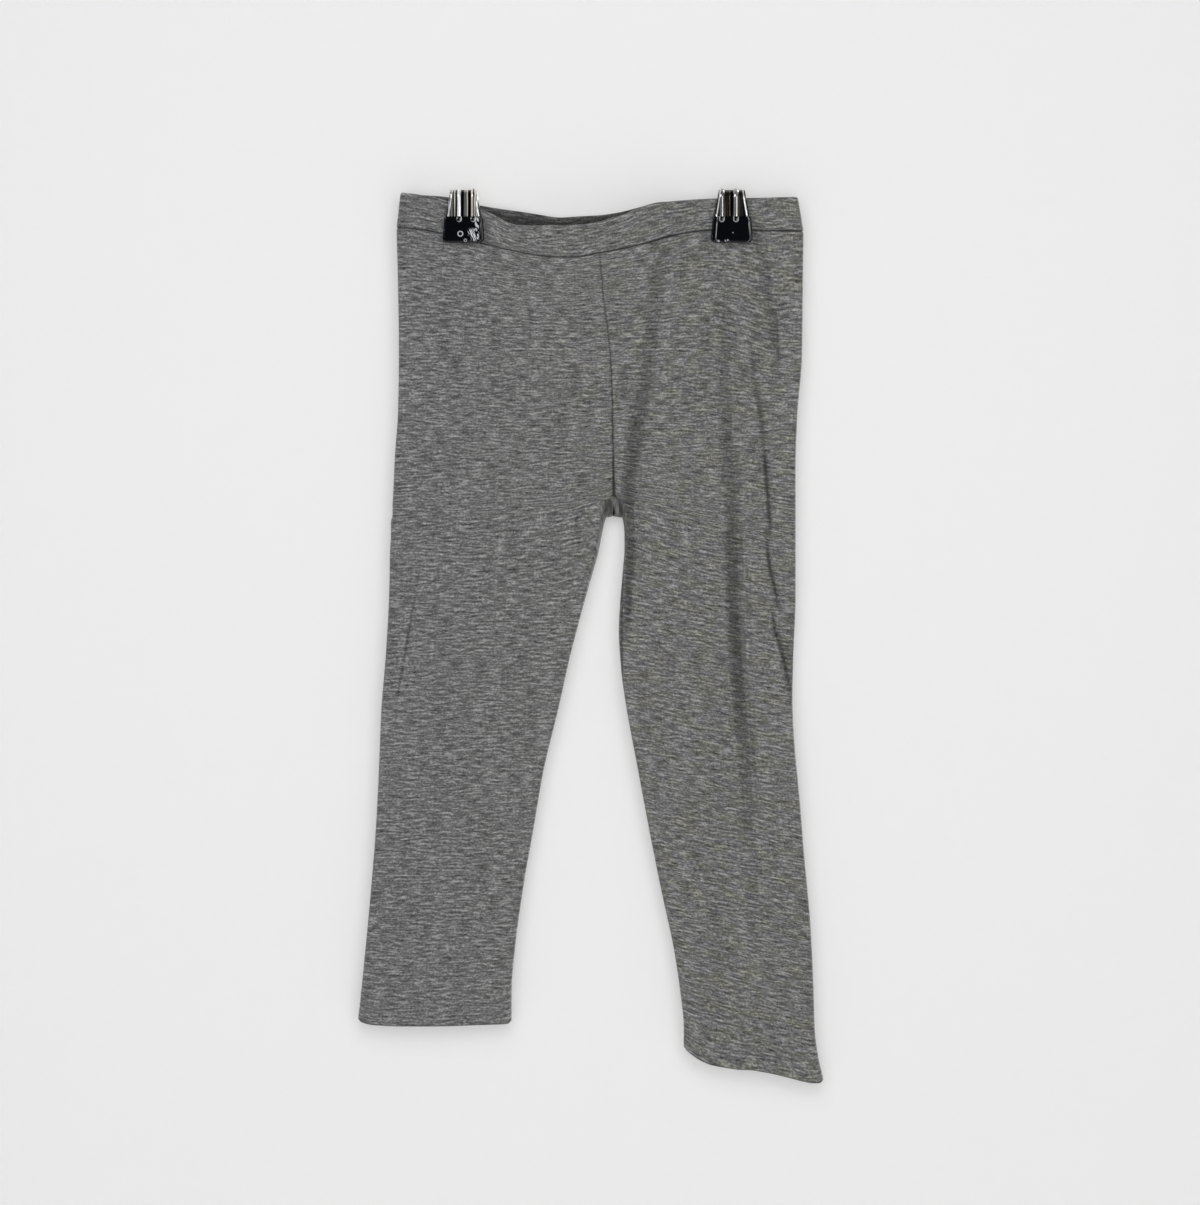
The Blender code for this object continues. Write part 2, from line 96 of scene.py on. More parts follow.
# %% Node helpers
class Wire:
    """An output socket. 1 - mask or height * 0.5 adds the Math node that works it out."""

    def __init__(self, tree, socket):
        self.tree = tree
        self.socket = socket

    def math(self, operation, *values):
        sockets = dict(enumerate(values))
        return add_node(self.tree, "ShaderNodeMath", {"operation": operation}, sockets)

    def __add__(self, other):
        return self.math("ADD", self, other)

    def __sub__(self, other):
        return self.math("SUBTRACT", self, other)

    def __rsub__(self, other):
        return self.math("SUBTRACT", other, self)

    def __mul__(self, other):
        return self.math("MULTIPLY", self, other)

    def __truediv__(self, other):
        return self.math("DIVIDE", self, other)

    def sine(self):
        return self.math("SINE", self)

    def clamped(self, low, high):
        return add_node(self.tree, "ShaderNodeClamp", {}, {"Value": self, "Min": low, "Max": high})

    def between(self, low, high):
        """0 at low and 1 at high, eased at both ends."""
        settings = {"interpolation_type": "SMOOTHSTEP"}
        sockets = {"Value": self, "From Min": low, "From Max": high}
        return add_node(self.tree, "ShaderNodeMapRange", settings, sockets)

    __radd__ = __add__
    __rmul__ = __mul__


def add_node(tree, kind, settings, sockets, output=0):
    """Adds a node, sets its settings and then its sockets, and returns one of its outputs."""
    node = tree.nodes.new(kind)
    for name, value in settings.items():
        setattr(node, name, value)
    for name, value in sockets.items():
        if isinstance(value, Wire):
            tree.links.new(value.socket, node.inputs[name])
        else:
            node.inputs[name].default_value = value
    return Wire(tree, node.outputs[output])


def new_material(name, **uniform):
    """A material whose Principled shader has the uniform values given, and its tree and shader."""
    material = bpy.data.materials.new(name)
    material.use_nodes = True
    shader = material.node_tree.nodes["Principled BSDF"]
    for socket, value in uniform.items():
        shader.inputs[socket.replace("_", " ")].default_value = value
    return material, material.node_tree, shader


def feed(shader, socket, wire):
    wire.tree.links.new(wire.socket, shader.inputs[socket])


def grey(value):
    """A linear grey."""
    return (value, value, value, 1.0)


def combine(tree, x, y, z):
    return add_node(tree, "ShaderNodeCombineXYZ", {}, {"X": x, "Y": y, "Z": z})


def part(vector, axis):
    """One of a vector's three numbers."""
    return add_node(vector.tree, "ShaderNodeSeparateXYZ", {}, {0: vector}, axis)


def object_place(tree):
    return add_node(tree, "ShaderNodeTexCoord", {}, {}, "Object")


def attribute(tree, name):
    return add_node(tree, "ShaderNodeAttribute", {"attribute_name": name}, {}, "Fac")


def ramp(wire, *stops):
    """A colour ramp; each stop is a place from 0 to 1 and a colour."""
    coloured = add_node(wire.tree, "ShaderNodeValToRGB", {}, {"Fac": wire})
    elements = coloured.socket.node.color_ramp.elements
    while len(elements) < len(stops):
        elements.new(1.0)
    for element, (place, colour) in zip(elements, stops):
        element.position = place
        element.color = colour
    return coloured


def blend(factor, under, over, blend_type="MIX"):
    """Two colours, of which the second goes over the first as far as the factor says."""
    settings = {"data_type": "RGBA", "blend_type": blend_type}
    return add_node(factor.tree, "ShaderNodeMix", settings, {"Factor": factor, 6: under, 7: over}, 2)


def feed_bump(shader, height, strength, distance):
    sockets = {"Strength": strength, "Distance": distance, "Height": height}
    feed(shader, "Normal", add_node(height.tree, "ShaderNodeBump", {}, sockets))


def noise(vector, detail=1.0, scale=1.0):
    """A noise texture's grey value, about 0.5 on average, scale features to a unit of the vector."""
    sockets = {"Vector": vector, "Scale": scale, "Detail": detail}
    return add_node(vector.tree, "ShaderNodeTexNoise", {}, sockets)


def stretched_noise(x, y, size, layer=0.0, detail=1.0):
    """Noise with features of the size given, across and along; each layer is another pattern."""
    return noise(combine(x.tree, x / size[0], y / size[1], layer), detail)


# %% Floor and wall
FLOOR_Z = -0.74
WALL_Y = 0.011
SWEEP_RADIUS = 0.10
SWEEP_STEPS = 16
ROOM_DEPTH = 1.6
ROOM_HALF_WIDTH = 2.2
ROOM_TOP = 1.4
ROOM_COLOUR = (0.84, 0.84, 0.84, 1.0)
ROOM_GLOW = 0.195
FLOOR_GLOW_SHARE = 0.6


def room_material():
    """Matt pale card, seen from the front only; it glows a little, and the upright part most."""
    material, tree, shader = new_material(
        "pale_card", Base_Color=ROOM_COLOUR, Roughness=1.0, Specular_IOR_Level=0.0,
        Emission_Strength=ROOM_GLOW)
    upright = part(object_place(tree), "Z").between(FLOOR_Z, FLOOR_Z + SWEEP_RADIUS)
    feed(shader, "Emission Color", upright * (1 - FLOOR_GLOW_SHARE) + FLOOR_GLOW_SHARE)
    seen_from_behind = add_node(tree, "ShaderNodeNewGeometry", {}, {}, "Backfacing")
    clear = add_node(tree, "ShaderNodeBsdfTransparent", {}, {})
    card = Wire(tree, shader.outputs["BSDF"])
    both = add_node(tree, "ShaderNodeMixShader", {}, {0: seen_from_behind, 1: card, 2: clear})
    tree.links.new(both.socket, tree.nodes["Material Output"].inputs["Surface"])
    return material


def add_room():
    profile = [(-ROOM_DEPTH, FLOOR_Z)]
    for step in range(SWEEP_STEPS + 1):
        turn = math.pi / 2 * step / SWEEP_STEPS
        y = WALL_Y - SWEEP_RADIUS + SWEEP_RADIUS * math.sin(turn)
        profile.append((y, FLOOR_Z + SWEEP_RADIUS - SWEEP_RADIUS * math.cos(turn)))
    profile.append((WALL_Y, ROOM_TOP))
    count = len(profile)
    points = [(x, y, z) for x in (-ROOM_HALF_WIDTH, ROOM_HALF_WIDTH) for y, z in profile]
    strips = [(i, i + count, i + count + 1, i + 1) for i in range(count - 1)]
    mesh = bpy.data.meshes.new("room")
    mesh.from_pydata(points, [], strips)
    mesh.materials.append(room_material())
    mesh.shade_smooth()
    room = link_object("room", mesh)
    print("the wall is", round(1000 * WALL_Y), "mm behind the garment's middle")
    return room


room = add_room()

# %% [markdown]
# ## Light
#
# The main light is a wide, soft window high on the left of the front. It leaves the left wall of
# each fold in the cloth darker than its right wall. A second light fills from the right, one from
# above draws the shadow under the hems, and one behind the wall shows the back. The card has a wide
# lamp of its own, straight in front, so that a soft dark rim lies on it all round the garment. The
# room's glow is faint, and fainter still in reflections, so that polished steel shows something dark.

# %% Lights
Lamp = namedtuple("Lamp", "name place aim width height power")
GARMENT_MIDDLE = (0.0, 0.0, -0.27)
LAMPS = (
    Lamp("window", (-2.50, -2.00, 1.15), GARMENT_MIDDLE, 1.2, 1.2, 59.0),
    Lamp("fill", (1.30, -1.90, -0.10), GARMENT_MIDDLE, 1.4, 1.4, 23.2),
    Lamp("sky", (0.0, -1.50, 0.75), GARMENT_MIDDLE, 1.2, 0.8, 5.0),
    Lamp("behind", (1.7, 1.5, 0.9), GARMENT_MIDDLE, 1.2, 1.2, 66.0),
    Lamp("card lamp", (0.0, -2.0, -0.34), (0.0, 0.0, -0.34), 2.8, 2.2, 25.0),
)
WORLD_GLOW = 0.18
WORLD_SEEN = 0.83
WORLD_REFLECTED = 0.05


def add_lamp(lamp):
    data = bpy.data.lights.new(lamp.name, "AREA")
    data.shape = "RECTANGLE"
    data.size = lamp.width
    data.size_y = lamp.height
    data.energy = lamp.power
    lamp_object = link_object(lamp.name, data)
    lamp_object.location = lamp.place
    towards = Vector(lamp.aim) - Vector(lamp.place)
    lamp_object.rotation_euler = towards.to_track_quat("-Z", "Y").to_euler()
    lamp_object.visible_camera = False
    return lamp_object


def light_links(name, state, *objects):
    """A collection that tells a lamp what to do with the objects given: EXCLUDE or INCLUDE."""
    links = bpy.data.collections.new(name)
    for number, thing in enumerate(objects):
        links.objects.link(thing)
        links.collection_objects[number].light_linking.link_state = state
    return links


def choose_lit(lamp_object, state, *objects):
    """Keeps one lamp off the objects given, for the state EXCLUDE, or on them alone, for INCLUDE."""
    links = light_links("chosen for the " + lamp_object.name, state, *objects)
    lamp_object.light_linking.receiver_collection = links


def add_world():
    world = bpy.data.worlds.new("room glow")
    world.use_nodes = True
    tree = world.node_tree
    glow = WORLD_GLOW
    for ray, strength in (("Is Camera Ray", WORLD_SEEN), ("Is Glossy Ray", WORLD_REFLECTED)):
        glow = add_node(tree, "ShaderNodeLightPath", {}, {}, ray) * (strength - WORLD_GLOW) + glow
    tree.links.new(glow.socket, tree.nodes["Background"].inputs["Strength"])
    tree.nodes["Background"].inputs["Color"].default_value = (1, 1, 1, 1)
    bpy.context.scene.world = world


def let_through(lamp_object, thing):
    """Lets one lamp shine through a thing, as if it cast no shadow."""
    links = light_links("passed by the " + lamp_object.name, "EXCLUDE", thing)
    lamp_object.light_linking.blocker_collection = links


lamp_objects = {lamp.name: add_lamp(lamp) for lamp in LAMPS}
for name in ("window", "fill", "behind"):
    choose_lit(lamp_objects[name], "EXCLUDE", room)
choose_lit(lamp_objects["card lamp"], "INCLUDE", room)
let_through(lamp_objects["behind"], room)
add_world()
print("lamps:", [lamp.name for lamp in LAMPS])

# %% [markdown]
# ## Heather jersey
#
# Heather jersey is knitted from yarn spun out of light and dark fibres. Along each course of the
# knit the yarn shows more of the one and then of the other, which draws dashes a few millimetres
# long and under a millimetre thick. The pattern belongs to the cloth, so it is worked out on a UV
# map in metres that runs with the courses. Two stretched noises of different length give the
# dashes, a third bends the courses a little, and a colour ramp turns their sum into fibre greys.

# %% Jersey material
DARK_FIBRE = grey(0.024)
MIDDLE_FIBRE = grey(0.125)
LIGHT_FIBRE = grey(0.370)
OLIVE_CAST = (1.0, 1.0, 0.88, 1.0)
LONG_DASH = (0.0082, 0.00125)
SHORT_DASH = (0.0019, 0.00115)
SPECK = (0.00095, 0.00090)
WAVE = (0.0140, 0.0090)
WAVE_HEIGHT = 0.0022
PATCH = (0.030, 0.022)
CAST_PATCH = (0.016, 0.008)
CAST_RANGE = (0.42, 0.64)
CAST_ACROSS = (-0.12, 0.08)
LONG_SHARE, SHORT_SHARE, SPECK_SHARE, PATCH_SHARE = 0.48, 0.32, 0.20, 0.05
LOOP_RELIEF, DASH_RELIEF = 0.25, 1.2
KNIT_PITCH = (0.00095, 0.00075)
PAINTED_SHADE_STRENGTH = 0.74
LEAST_PAINTED_SHADE = -0.3


def jersey_material():
    material, tree, shader = new_material(
        "heather_jersey", Roughness=0.92, Specular_IOR_Level=0.25, Sheen_Weight=0.12,
        Sheen_Roughness=0.6)
    cloth = add_node(tree, "ShaderNodeUVMap", {"uv_map": "cloth"}, {})
    across, down = part(cloth, "X"), part(cloth, "Y")
    wave = stretched_noise(across, down, WAVE) - 0.5
    course = down + wave * WAVE_HEIGHT
    long_dash = stretched_noise(across, course, LONG_DASH)
    short_dash = stretched_noise(across, course, SHORT_DASH, layer=7.0)
    speck = stretched_noise(across, course, SPECK, layer=17.0)
    patch = stretched_noise(across, down, PATCH, layer=3.0, detail=2.0)
    tone = long_dash * LONG_SHARE + short_dash * SHORT_SHARE + speck * SPECK_SHARE
    tone = tone + (patch - 0.5) * PATCH_SHARE
    fibres = ramp(tone, (0.32, DARK_FIBRE), (0.50, MIDDLE_FIBRE), (0.69, LIGHT_FIBRE))
    cast_patch = stretched_noise(across, down, CAST_PATCH, layer=11.0, detail=2.0)
    cast = cast_patch.between(*CAST_RANGE) * part(object_place(tree), "X").between(*CAST_ACROSS)
    cast_fibres = blend(cast, fibres, OLIVE_CAST, "MULTIPLY")
    # Painted shade: the sheet's stored values darken the fibres' colour, and below 0 a little painted
    # light brightens it.
    lit = attribute(tree, "painted_shade").clamped(LEAST_PAINTED_SHADE, 1.0) * -PAINTED_SHADE_STRENGTH + 1.0
    sockets = {0: cast_fibres, "Scale": lit}
    feed(shader, "Base Color", add_node(tree, "ShaderNodeVectorMath", {"operation": "SCALE"}, sockets))
    wale = (across * (2 * math.pi / KNIT_PITCH[0])).sine()
    loop = (course * (2 * math.pi / KNIT_PITCH[1])).sine()
    feed_bump(shader, wale * loop * LOOP_RELIEF + long_dash * DASH_RELIEF, 0.22, 0.0004)
    return material


jersey = jersey_material()
print("jersey nodes:", len(jersey.node_tree.nodes))

# %% [markdown]
# ## The garment's tables
#
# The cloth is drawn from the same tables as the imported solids: the outline of each leg course by
# course, the centre seam, how full the garment is at each height, and the curve of its waist. The
# visual shell therefore lies close to its solid, with a truer waist and hem and finer creases. A
# long table is written in millimetres, which is easier to compare with a ruler on the cloth.

# %% Tables of the garment
MM = 1000


def table(kind, units, rows):
    """Records from rows of numbers; each number is divided by its column's unit, to give metres."""
    return tuple(kind(*(value / unit for value, unit in zip(row, units))) for row in rows)


FOLD_RADIUS = 0.0014
FULLNESS_REACH = 0.025
EDGE_FULLNESS = 0.66
GRIP = 0.00215
SEAM_OVERLAP = 0.00020
SEAM_LINE_SHADE = 1.2

SeamLine = namedtuple("SeamLine", "z_centre slope middle_x half_span front_sag back_sag")
WAIST_SEAM = SeamLine(-0.0234, -0.0075, -0.0185, 0.1075, 0.0174, 0.0125)
SeamLift = namedtuple("SeamLift", "x up")
FRONT_SEAM_LIFT = table(SeamLift, (MM, MM), (
    (-125, 0.8), (-70, 0.6), (-30, 0.1), (-10.8, 0.5), (1.7, 1.8), (14.2, 1.9), (33, 2.1),
    (45.5, 2.9), (58, 2.8), (70.5, 2.2), (98.6, 1.2), (129, 0.7),
))
WAIST_SAG_FADE = 0.040
TopPoint = namedtuple("TopPoint", "x z")
FRONT_TOP = table(TopPoint, (MM, MM), (
    (-122.7, 0.2), (-104.5, -1.9), (-95.2, -4.5), (-73.3, -9.5), (-63.9, -14.1), (-54.5, -19.4),
    (-48.3, -20.9), (-35.8, -21), (-23.3, -21.1), (-10.8, -20.5), (1.7, -18.6), (9.2, -16.1),
    (14.2, -14.9), (26.7, -9.9), (39.2, -6.7), (72.3, -3.4), (98.6, -2.9), (124.2, -2.7),
))
BACK_TOP = table(TopPoint, (MM, MM), (
    (-122.7, 0.2), (-104.5, -1.2), (-95.2, -2), (-74.5, -7.2), (-60.8, -9.5), (-48.3, -11.1),
    (-35.8, -13), (-23.3, -14.7), (-10.8, -13.9), (1.7, -13.2), (14.2, -11.3), (26.7, -8.1),
    (39.2, -5), (72.3, -3.7), (98.6, -3.1), (124.2, -2.6),
))
BandEdge = namedtuple("BandEdge", "rise left_x right_x front back")
BAND_EDGES = (
    BandEdge(0.0, -0.1255, 0.1290, 0.0085, 0.0055),
    BandEdge(1.0, -0.1230, 0.1255, 0.0115, 0.0065),
)
Course = namedtuple("Course", "down outer_x outer_z inner_x inner_z")
RIGHT_COURSES = table(Course, (MM, MM, MM, MM, MM), (
    (0, -125.5, -22.5, 101.5, -24), (37.5, -124.5, -60.5, 89, -60.5), (75, -124, -98, 75.5, -98),
    (112.5, -124.5, -135.5, 60.5, -135.5), (142.5, -126.5, -164, 44, -163.5),
    (164, -127.5, -186, 29, -185), (175, -128, -196, 18.5, -196), (180.5, -128, -201, 10.8, -200.4),
    (182, -128.5, -203, 6.4, -200.9), (185, -129, -206, 4.9, -204.2),
    (192.5, -129, -213.5, 2.8, -213.5), (202.5, -129.5, -223, 1, -223), (226, -130, -248, -6, -248),
    (264, -132, -285.5, -16, -285.5), (301, -135, -323, -24.5, -323),
    (339, -136.5, -360.5, -33.5, -360.5), (376, -138.5, -398, -40, -398),
    (414, -141.5, -435.5, -46.5, -435.5), (451, -145, -473, -51.5, -473),
    (476, -147.5, -498, -53.5, -498.5), (495, -149.5, -516, -53.5, -517),
))
LEFT_COURSES = table(Course, (MM, MM, MM, MM, MM), (
    (0, 129, -24.5, -98.5, -22.5), (37.5, 128.5, -63, -81, -60.5), (75, 128, -101.5, -60, -98),
    (112.5, 125, -140.5, -41.5, -135.5), (142.5, 124, -171.5, -24, -163.5),
    (167, 124, -197.5, -8.5, -185), (179, 124, -208, 2.5, -196), (185.5, 124, -214, 10.2, -200.4),
    (187.5, 124, -215.5, 14.7, -200.9), (191, 124, -218.5, 16.1, -204.2),
    (200, 124, -226.5, 17, -213.5), (212.5, 124, -238.5, 17, -224), (226, 124, -252, 16, -235.5),
    (264, 122.5, -289.5, 13.5, -273), (289, 122, -314.5, 15, -298), (314, 123, -339.5, 18.5, -323),
    (351, 126.5, -378, 25.5, -360.5), (389, 129.5, -415.5, 32.5, -398),
    (426, 133, -453.5, 40, -435.5), (464, 135, -491.5, 48, -473), (495, 136, -523, 52.5, -504),
    (509.5, 138, -538.5, 54, -519.5), (524, 141.5, -554, 54, -533.5),
))
SeamPoint = namedtuple("SeamPoint", "z x")
CENTRE_SEAM = table(SeamPoint, (MM, MM), (
    (-210, 10.5), (-166.5, 10), (-113.5, 9), (-85.5, 7), (-60.5, 4), (-23.5, 1.5),
))
Fullness = namedtuple("Fullness", "z front back")
FULLNESS = table(Fullness, (MM, MM, MM), (
    (-560, 5.5, 5.5), (-410, 6, 6), (-285, 7, 6.5), (-198, 6.5, 7), (-130, 7, 7), (-66.5, 8, 6.5),
    (-23.5, 8.5, 5.5),
))
CROTCH_Z = -0.2006
FRONT_LIFT = 2.3
BACK_LIFT = 0.3
CROTCH_LIFT_HEIGHT = 0.035
CROTCH_LIFT_REACH = 0.030
HEM_FADE = 0.020
HemPoint = namedtuple("HemPoint", "share drop")
RIGHT_HEM = table(HemPoint, (1, MM), (
    (0, 0), (0.026, 1.8), (0.195, 2.6), (0.468, 3.7), (0.727, 4), (0.909, 3.3), (0.974, 1.8),
    (1, 0),
))
LEFT_HEM = table(HemPoint, (1, MM), (
    (0, 0), (0.043, 2.8), (0.115, 5.7), (0.194, 7.1), (0.367, 6.2), (0.504, 4.2), (0.655, 3.5),
    (0.763, 3.7), (0.871, 4), (0.964, 2.6), (1, 0),
))
HOLLOW_X = 0.0101
HOLLOW_TOP_Z = -0.1880
HOLLOW_HEIGHT = 0.0135
HOLLOW_HALF_WIDTH = 0.0054
HOLLOW_EDGE = 0.0013
HOLLOW_DEPTH = 0.45
HOLLOW_SHADE = (-0.22, 0.24)
HOLLOW_EDGE_SHADE = (0.35, 0.90)
HOLLOW_TOP_RISE = 0.0010
HOLLOW_TOP_FADE = 0.0030
HOLLOW_BLEND = 0.003
CLIP_X = (-0.0835, 0.0840)
PINCH_HALF_WIDTH = 0.0150
PINCH_SPREAD = 0.020
PINCH_BOTTOM_Z = -0.034
PINCH_FADE_Z = -0.150
FRONT, BACK = -1, 1

Leg = namedtuple("Leg", "name node courses inwards crotch_down hem")
RIGHT_LEG = Leg("right_leg_jersey", "leg_panel_right", RIGHT_COURSES, 1, 0.1805, RIGHT_HEM)
LEFT_LEG = Leg("left_leg_jersey", "leg_panel_left", LEFT_COURSES, -1, 0.1855, LEFT_HEM)

# %% [markdown]
# ## Creases
#
# A crease is a trough along a path down the cloth: it has a depth at each point of the path, and
# its left and right walls may be of different widths, because a fold that leans has one gentle wall
# and one steep wall. A ridge is a trough of negative depth. Most of them fan out from the clips
# and from the crotch, where the cloth is held. Beside them the cloth ripples a little everywhere.

# %% Crease table
Crease = namedtuple("Crease", "name side left right path")
Point = namedtuple("Point", "z x depth")
CREASES = tuple(
    Crease(name, side, left / MM, right / MM, table(Point, (MM, MM, MM), path))
    for name, side, left, right, path in (
        ("crotch drag", FRONT, 10.5, 7, (
            (-26, 45, 0.8), (-48, 44, 2.6), (-79, 39.5, 3.6), (-117, 35.2, 4.8), (-154, 28.8, 6),
            (-186, 24, 6.8), (-222, 24.8, 5.2), (-262, 23.2, 3), (-290, 22.8, 0))),
        ("long thigh", FRONT, 8.8, 3, (
            (-32, 81.5, 1), (-85, 83.8, 2.8), (-129, 84.5, 3.4), (-173, 86, 4.2), (-204, 87.8, 5.4),
            (-254, 88.5, 6), (-292, 90.7, 6), (-329, 93.8, 4.8), (-367, 97.2, 3.2),
            (-410, 100.2, 1.8), (-435, 101.5, 1.2), (-465, 104, 0))),
        ("long thigh ridge", FRONT, 1.8, 4, (
            (-205, 90.8, 0), (-229, 91.4, -1), (-292, 93.6, -1.4), (-330, 96.8, -1),
            (-360, 100.1, 0))),
        ("clip drag", FRONT, 7.5, 6, (
            (-28, 105.5, 1.2), (-45, 107.8, 3.8), (-79, 112.8, 4.4), (-105, 115.5, 2.6),
            (-135, 116, 0))),
        ("side crease", FRONT, 3, 6, (
            (-86, 96.6, 0), (-105, 98, 1.4), (-144, 104, 2.6), (-195, 108.2, 3), (-212, 109.4, 1.4),
            (-224, 110, 0))),
        ("lower side crease", FRONT, 2.4, 6, (
            (-206, 106, 0), (-222, 107.2, 2.2), (-238, 109.6, 3), (-250, 112.7, 2.2),
            (-262, 115, 0))),
        ("side overlap", FRONT, 1.8, 60, (
            (-256, 109.8, 0), (-270, 111.2, 2.4), (-287, 116, 3.6), (-305, 119.6, 3.6),
            (-316, 122.2, 1.6), (-325, 123.5, 0))),
        ("side overlap lip", FRONT, 4, 1, (
            (-258, 107.8, 0), (-270, 109, -0.6), (-287, 114.2, -0.9), (-305, 118, -0.9),
            (-322, 121, 0))),
        ("inner thigh", FRONT, 5, 3.5, (
            (-212, 25, 0), (-235, 22.8, 2.2), (-258, 21.5, 2), (-285, 20.5, 0))),
        ("hip dimple", FRONT, 2.6, 5, (
            (-60, -44.5, 0), (-70, -41.8, 1), (-83, -39.5, 1.4), (-96, -40.2, 0))),
        ("outer thigh", FRONT, 1.6, 3, (
            (-225, -109, 0), (-238.8, -110.8, 0.5), (-265.3, -115.4, 1), (-287.2, -119.3, 1.2),
            (-312.1, -123.8, 0.9), (-320, -125.6, 0))),
        ("knee", FRONT, 10, 10, (
            (-300, -93, 0), (-350, -92.5, 1.3), (-410, -93, 0))),
        ("right clip drag", FRONT, 9, 11, (
            (-40, -86, 0), (-80, -86.5, 0.9), (-130, -86, 0))),
        ("calf", FRONT, 11, 14, (
            (-390, 72, 0), (-450, 80, 1.4), (-500, 90, 1), (-530, 96, 0))),
        ("seat left", BACK, 9, 6, (
            (-35, 47, 0), (-60, 42, 2.4), (-120, 32, 4.2), (-180, 26.5, 5.2), (-225, 25, 2.6),
            (-260, 24, 0))),
        ("seat right", BACK, 6, 8.5, (
            (-45, -30, 0), (-70, -26, 2.2), (-130, -14, 3.6), (-180, -7, 4.6), (-220, -5.5, 2.2),
            (-250, -8, 0))),
        ("back of left knee", BACK, 4, 9, (
            (-150, 86, 0), (-200, 84.5, 2.6), (-280, 80, 4.8), (-350, 85, 3.4), (-415, 90, 0))),
        ("back of right knee", BACK, 9, 4, (
            (-180, -74, 0), (-240, -77, 2.2), (-310, -82, 4), (-380, -87, 2.4), (-430, -89, 0))),
        ("back clip drag", BACK, 6, 7, (
            (-35, -101, 1), (-60, -104, 3.4), (-100, -109, 2.4), (-135, -112, 0))),
        ("back left clip drag", BACK, 6, 6, (
            (-30, 104, 1), (-55, 106.5, 3.6), (-90, 111, 3), (-125, 114.5, 0))),
        ("back right hip", BACK, 8, 5, (
            (-45, -65, 0), (-75, -59, 2.2), (-115, -54, 1.8), (-150, -52, 0))),
        ("back left calf", BACK, 10, 5, (
            (-400, 70, 0), (-440, 76, 2.4), (-485, 85, 2.2), (-520, 92, 0))),
        ("back right calf", BACK, 5, 8, (
            (-370, -118, 0), (-410, -120, 2), (-450, -124, 1.6), (-490, -129, 0))),
    )
)
# Painted lines: painted shade along the dark side of some creases, the centre seam above the crotch
# and the crotch's edges, and painted light where the shade is below 0.
LinePoint = namedtuple("LinePoint", "z x shade")
PaintedLine = namedtuple("PaintedLine", "side half_width power path")
PAINTED_LINES = tuple(
    PaintedLine(side, half_width / MM, power, table(LinePoint, (MM, MM, 1), path))
    for side, half_width, power, path in (
        (FRONT, 0.65, 2, (
            (-55, 111.2, 0), (-64, 111.8, 0.35), (-85, 112.7, 0.4), (-104, 113.1, 0.25),
            (-115, 113.3, 0))),
        (FRONT, 0.65, 2, (
            (-160, 104.3, 0), (-170, 104.9, 0.35), (-192, 106.6, 0.38), (-211, 108, 0.2),
            (-218, 108.4, 0))),
        (FRONT, 0.7, 2, (
            (-219, 106.1, 0), (-226, 106.6, 0.55), (-238, 108.6, 0.62), (-250, 111.7, 0.45),
            (-256, 113.2, 0))),
        (FRONT, 0.65, 2, (
            (-262, 108.7, 0), (-268, 110, 0.5), (-286, 114.9, 0.75), (-304, 119.2, 0.8),
            (-312, 121.1, 0.6), (-317, 122.2, 0))),
        (FRONT, 3.7, 8, (
            (-200, 84.2, 0), (-235, 85.2, 0.08), (-292, 87.8, 0.11), (-335, 90.5, 0.08),
            (-370, 93, 0))),
        (FRONT, 0.5, 2, (
            (-215, 89.2, 0), (-235, 89.7, -0.16), (-292, 92.1, -0.22), (-330, 94.6, -0.14),
            (-350, 96.2, 0))),
        (FRONT, 0.9, 2, (
            (-236, -110.3, 0), (-255, -113.3, 0.1), (-265.3, -115.3, 0.15), (-278.3, -117.9, 0.18),
            (-287.2, -119.2, 0.21), (-299.1, -121.7, 0.17), (-312.1, -123.7, 0.18),
            (-318, -125.2, 0))),
        (FRONT, 0.75, 2, (
            (-162, 10, 0), (-174, 10.2, 0.45), (-186, 10.6, 0.85), (-190.5, 10.8, 0))),
        (FRONT, 0.55, 2, (
            (-186, 12.2, 0), (-188.5, 13.3, 0.45), (-192.5, 14.5, 0.5), (-201.5, 15.3, 0.55),
            (-204, 15.6, 0))),
        (FRONT, 0.5, 2, (
            (-191.5, 7.6, 0), (-194, 6.8, 0.3), (-200, 5.3, 0.3), (-203, 4.8, 0))),
        (BACK, 3, 4, (
            (-70, 40, 0), (-120, 32.5, 0.1), (-180, 27, 0.16), (-215, 25.5, 0.1), (-245, 24.5, 0))),
        (BACK, 3, 4, (
            (-80, -24, 0), (-130, -14, 0.08), (-180, -7, 0.14), (-235, -6, 0))),
        (BACK, 3.2, 4, (
            (-190, 84.5, 0), (-240, 81.5, 0.1), (-290, 80.5, 0.15), (-345, 84.5, 0.1),
            (-400, 89, 0))),
        (BACK, 3.2, 4, (
            (-230, -76.5, 0), (-270, -79.5, 0.08), (-320, -83, 0.12), (-400, -88, 0))),
    )
)
SLOPE_STEP = 0.0008
CREASE_SHADE = 0.50
LIT_WALL = -0.1
STEEP_SHARE = 0.65
GENTLE_WIDTH = 4.0
SEAM_CALM = 0.006
SIDE_SHIFT = 0.3
Ripple = namedtuple("Ripple", "height width length seed")
RIPPLES = (
    Ripple(0.00045, 0.016, 0.070, 3),
    Ripple(0.00018, 0.034, 0.012, 8),
)
print("creases, in front and behind:", len(CREASES))

# %% Curves and noises


def column(rows, name):
    return np.array([getattr(row, name) for row in rows])


def read(rows, by, name, at):
    """A column of a table, read smoothly between its rows, which rise in the column by."""
    return smooth(column(rows, by), column(rows, name), at)


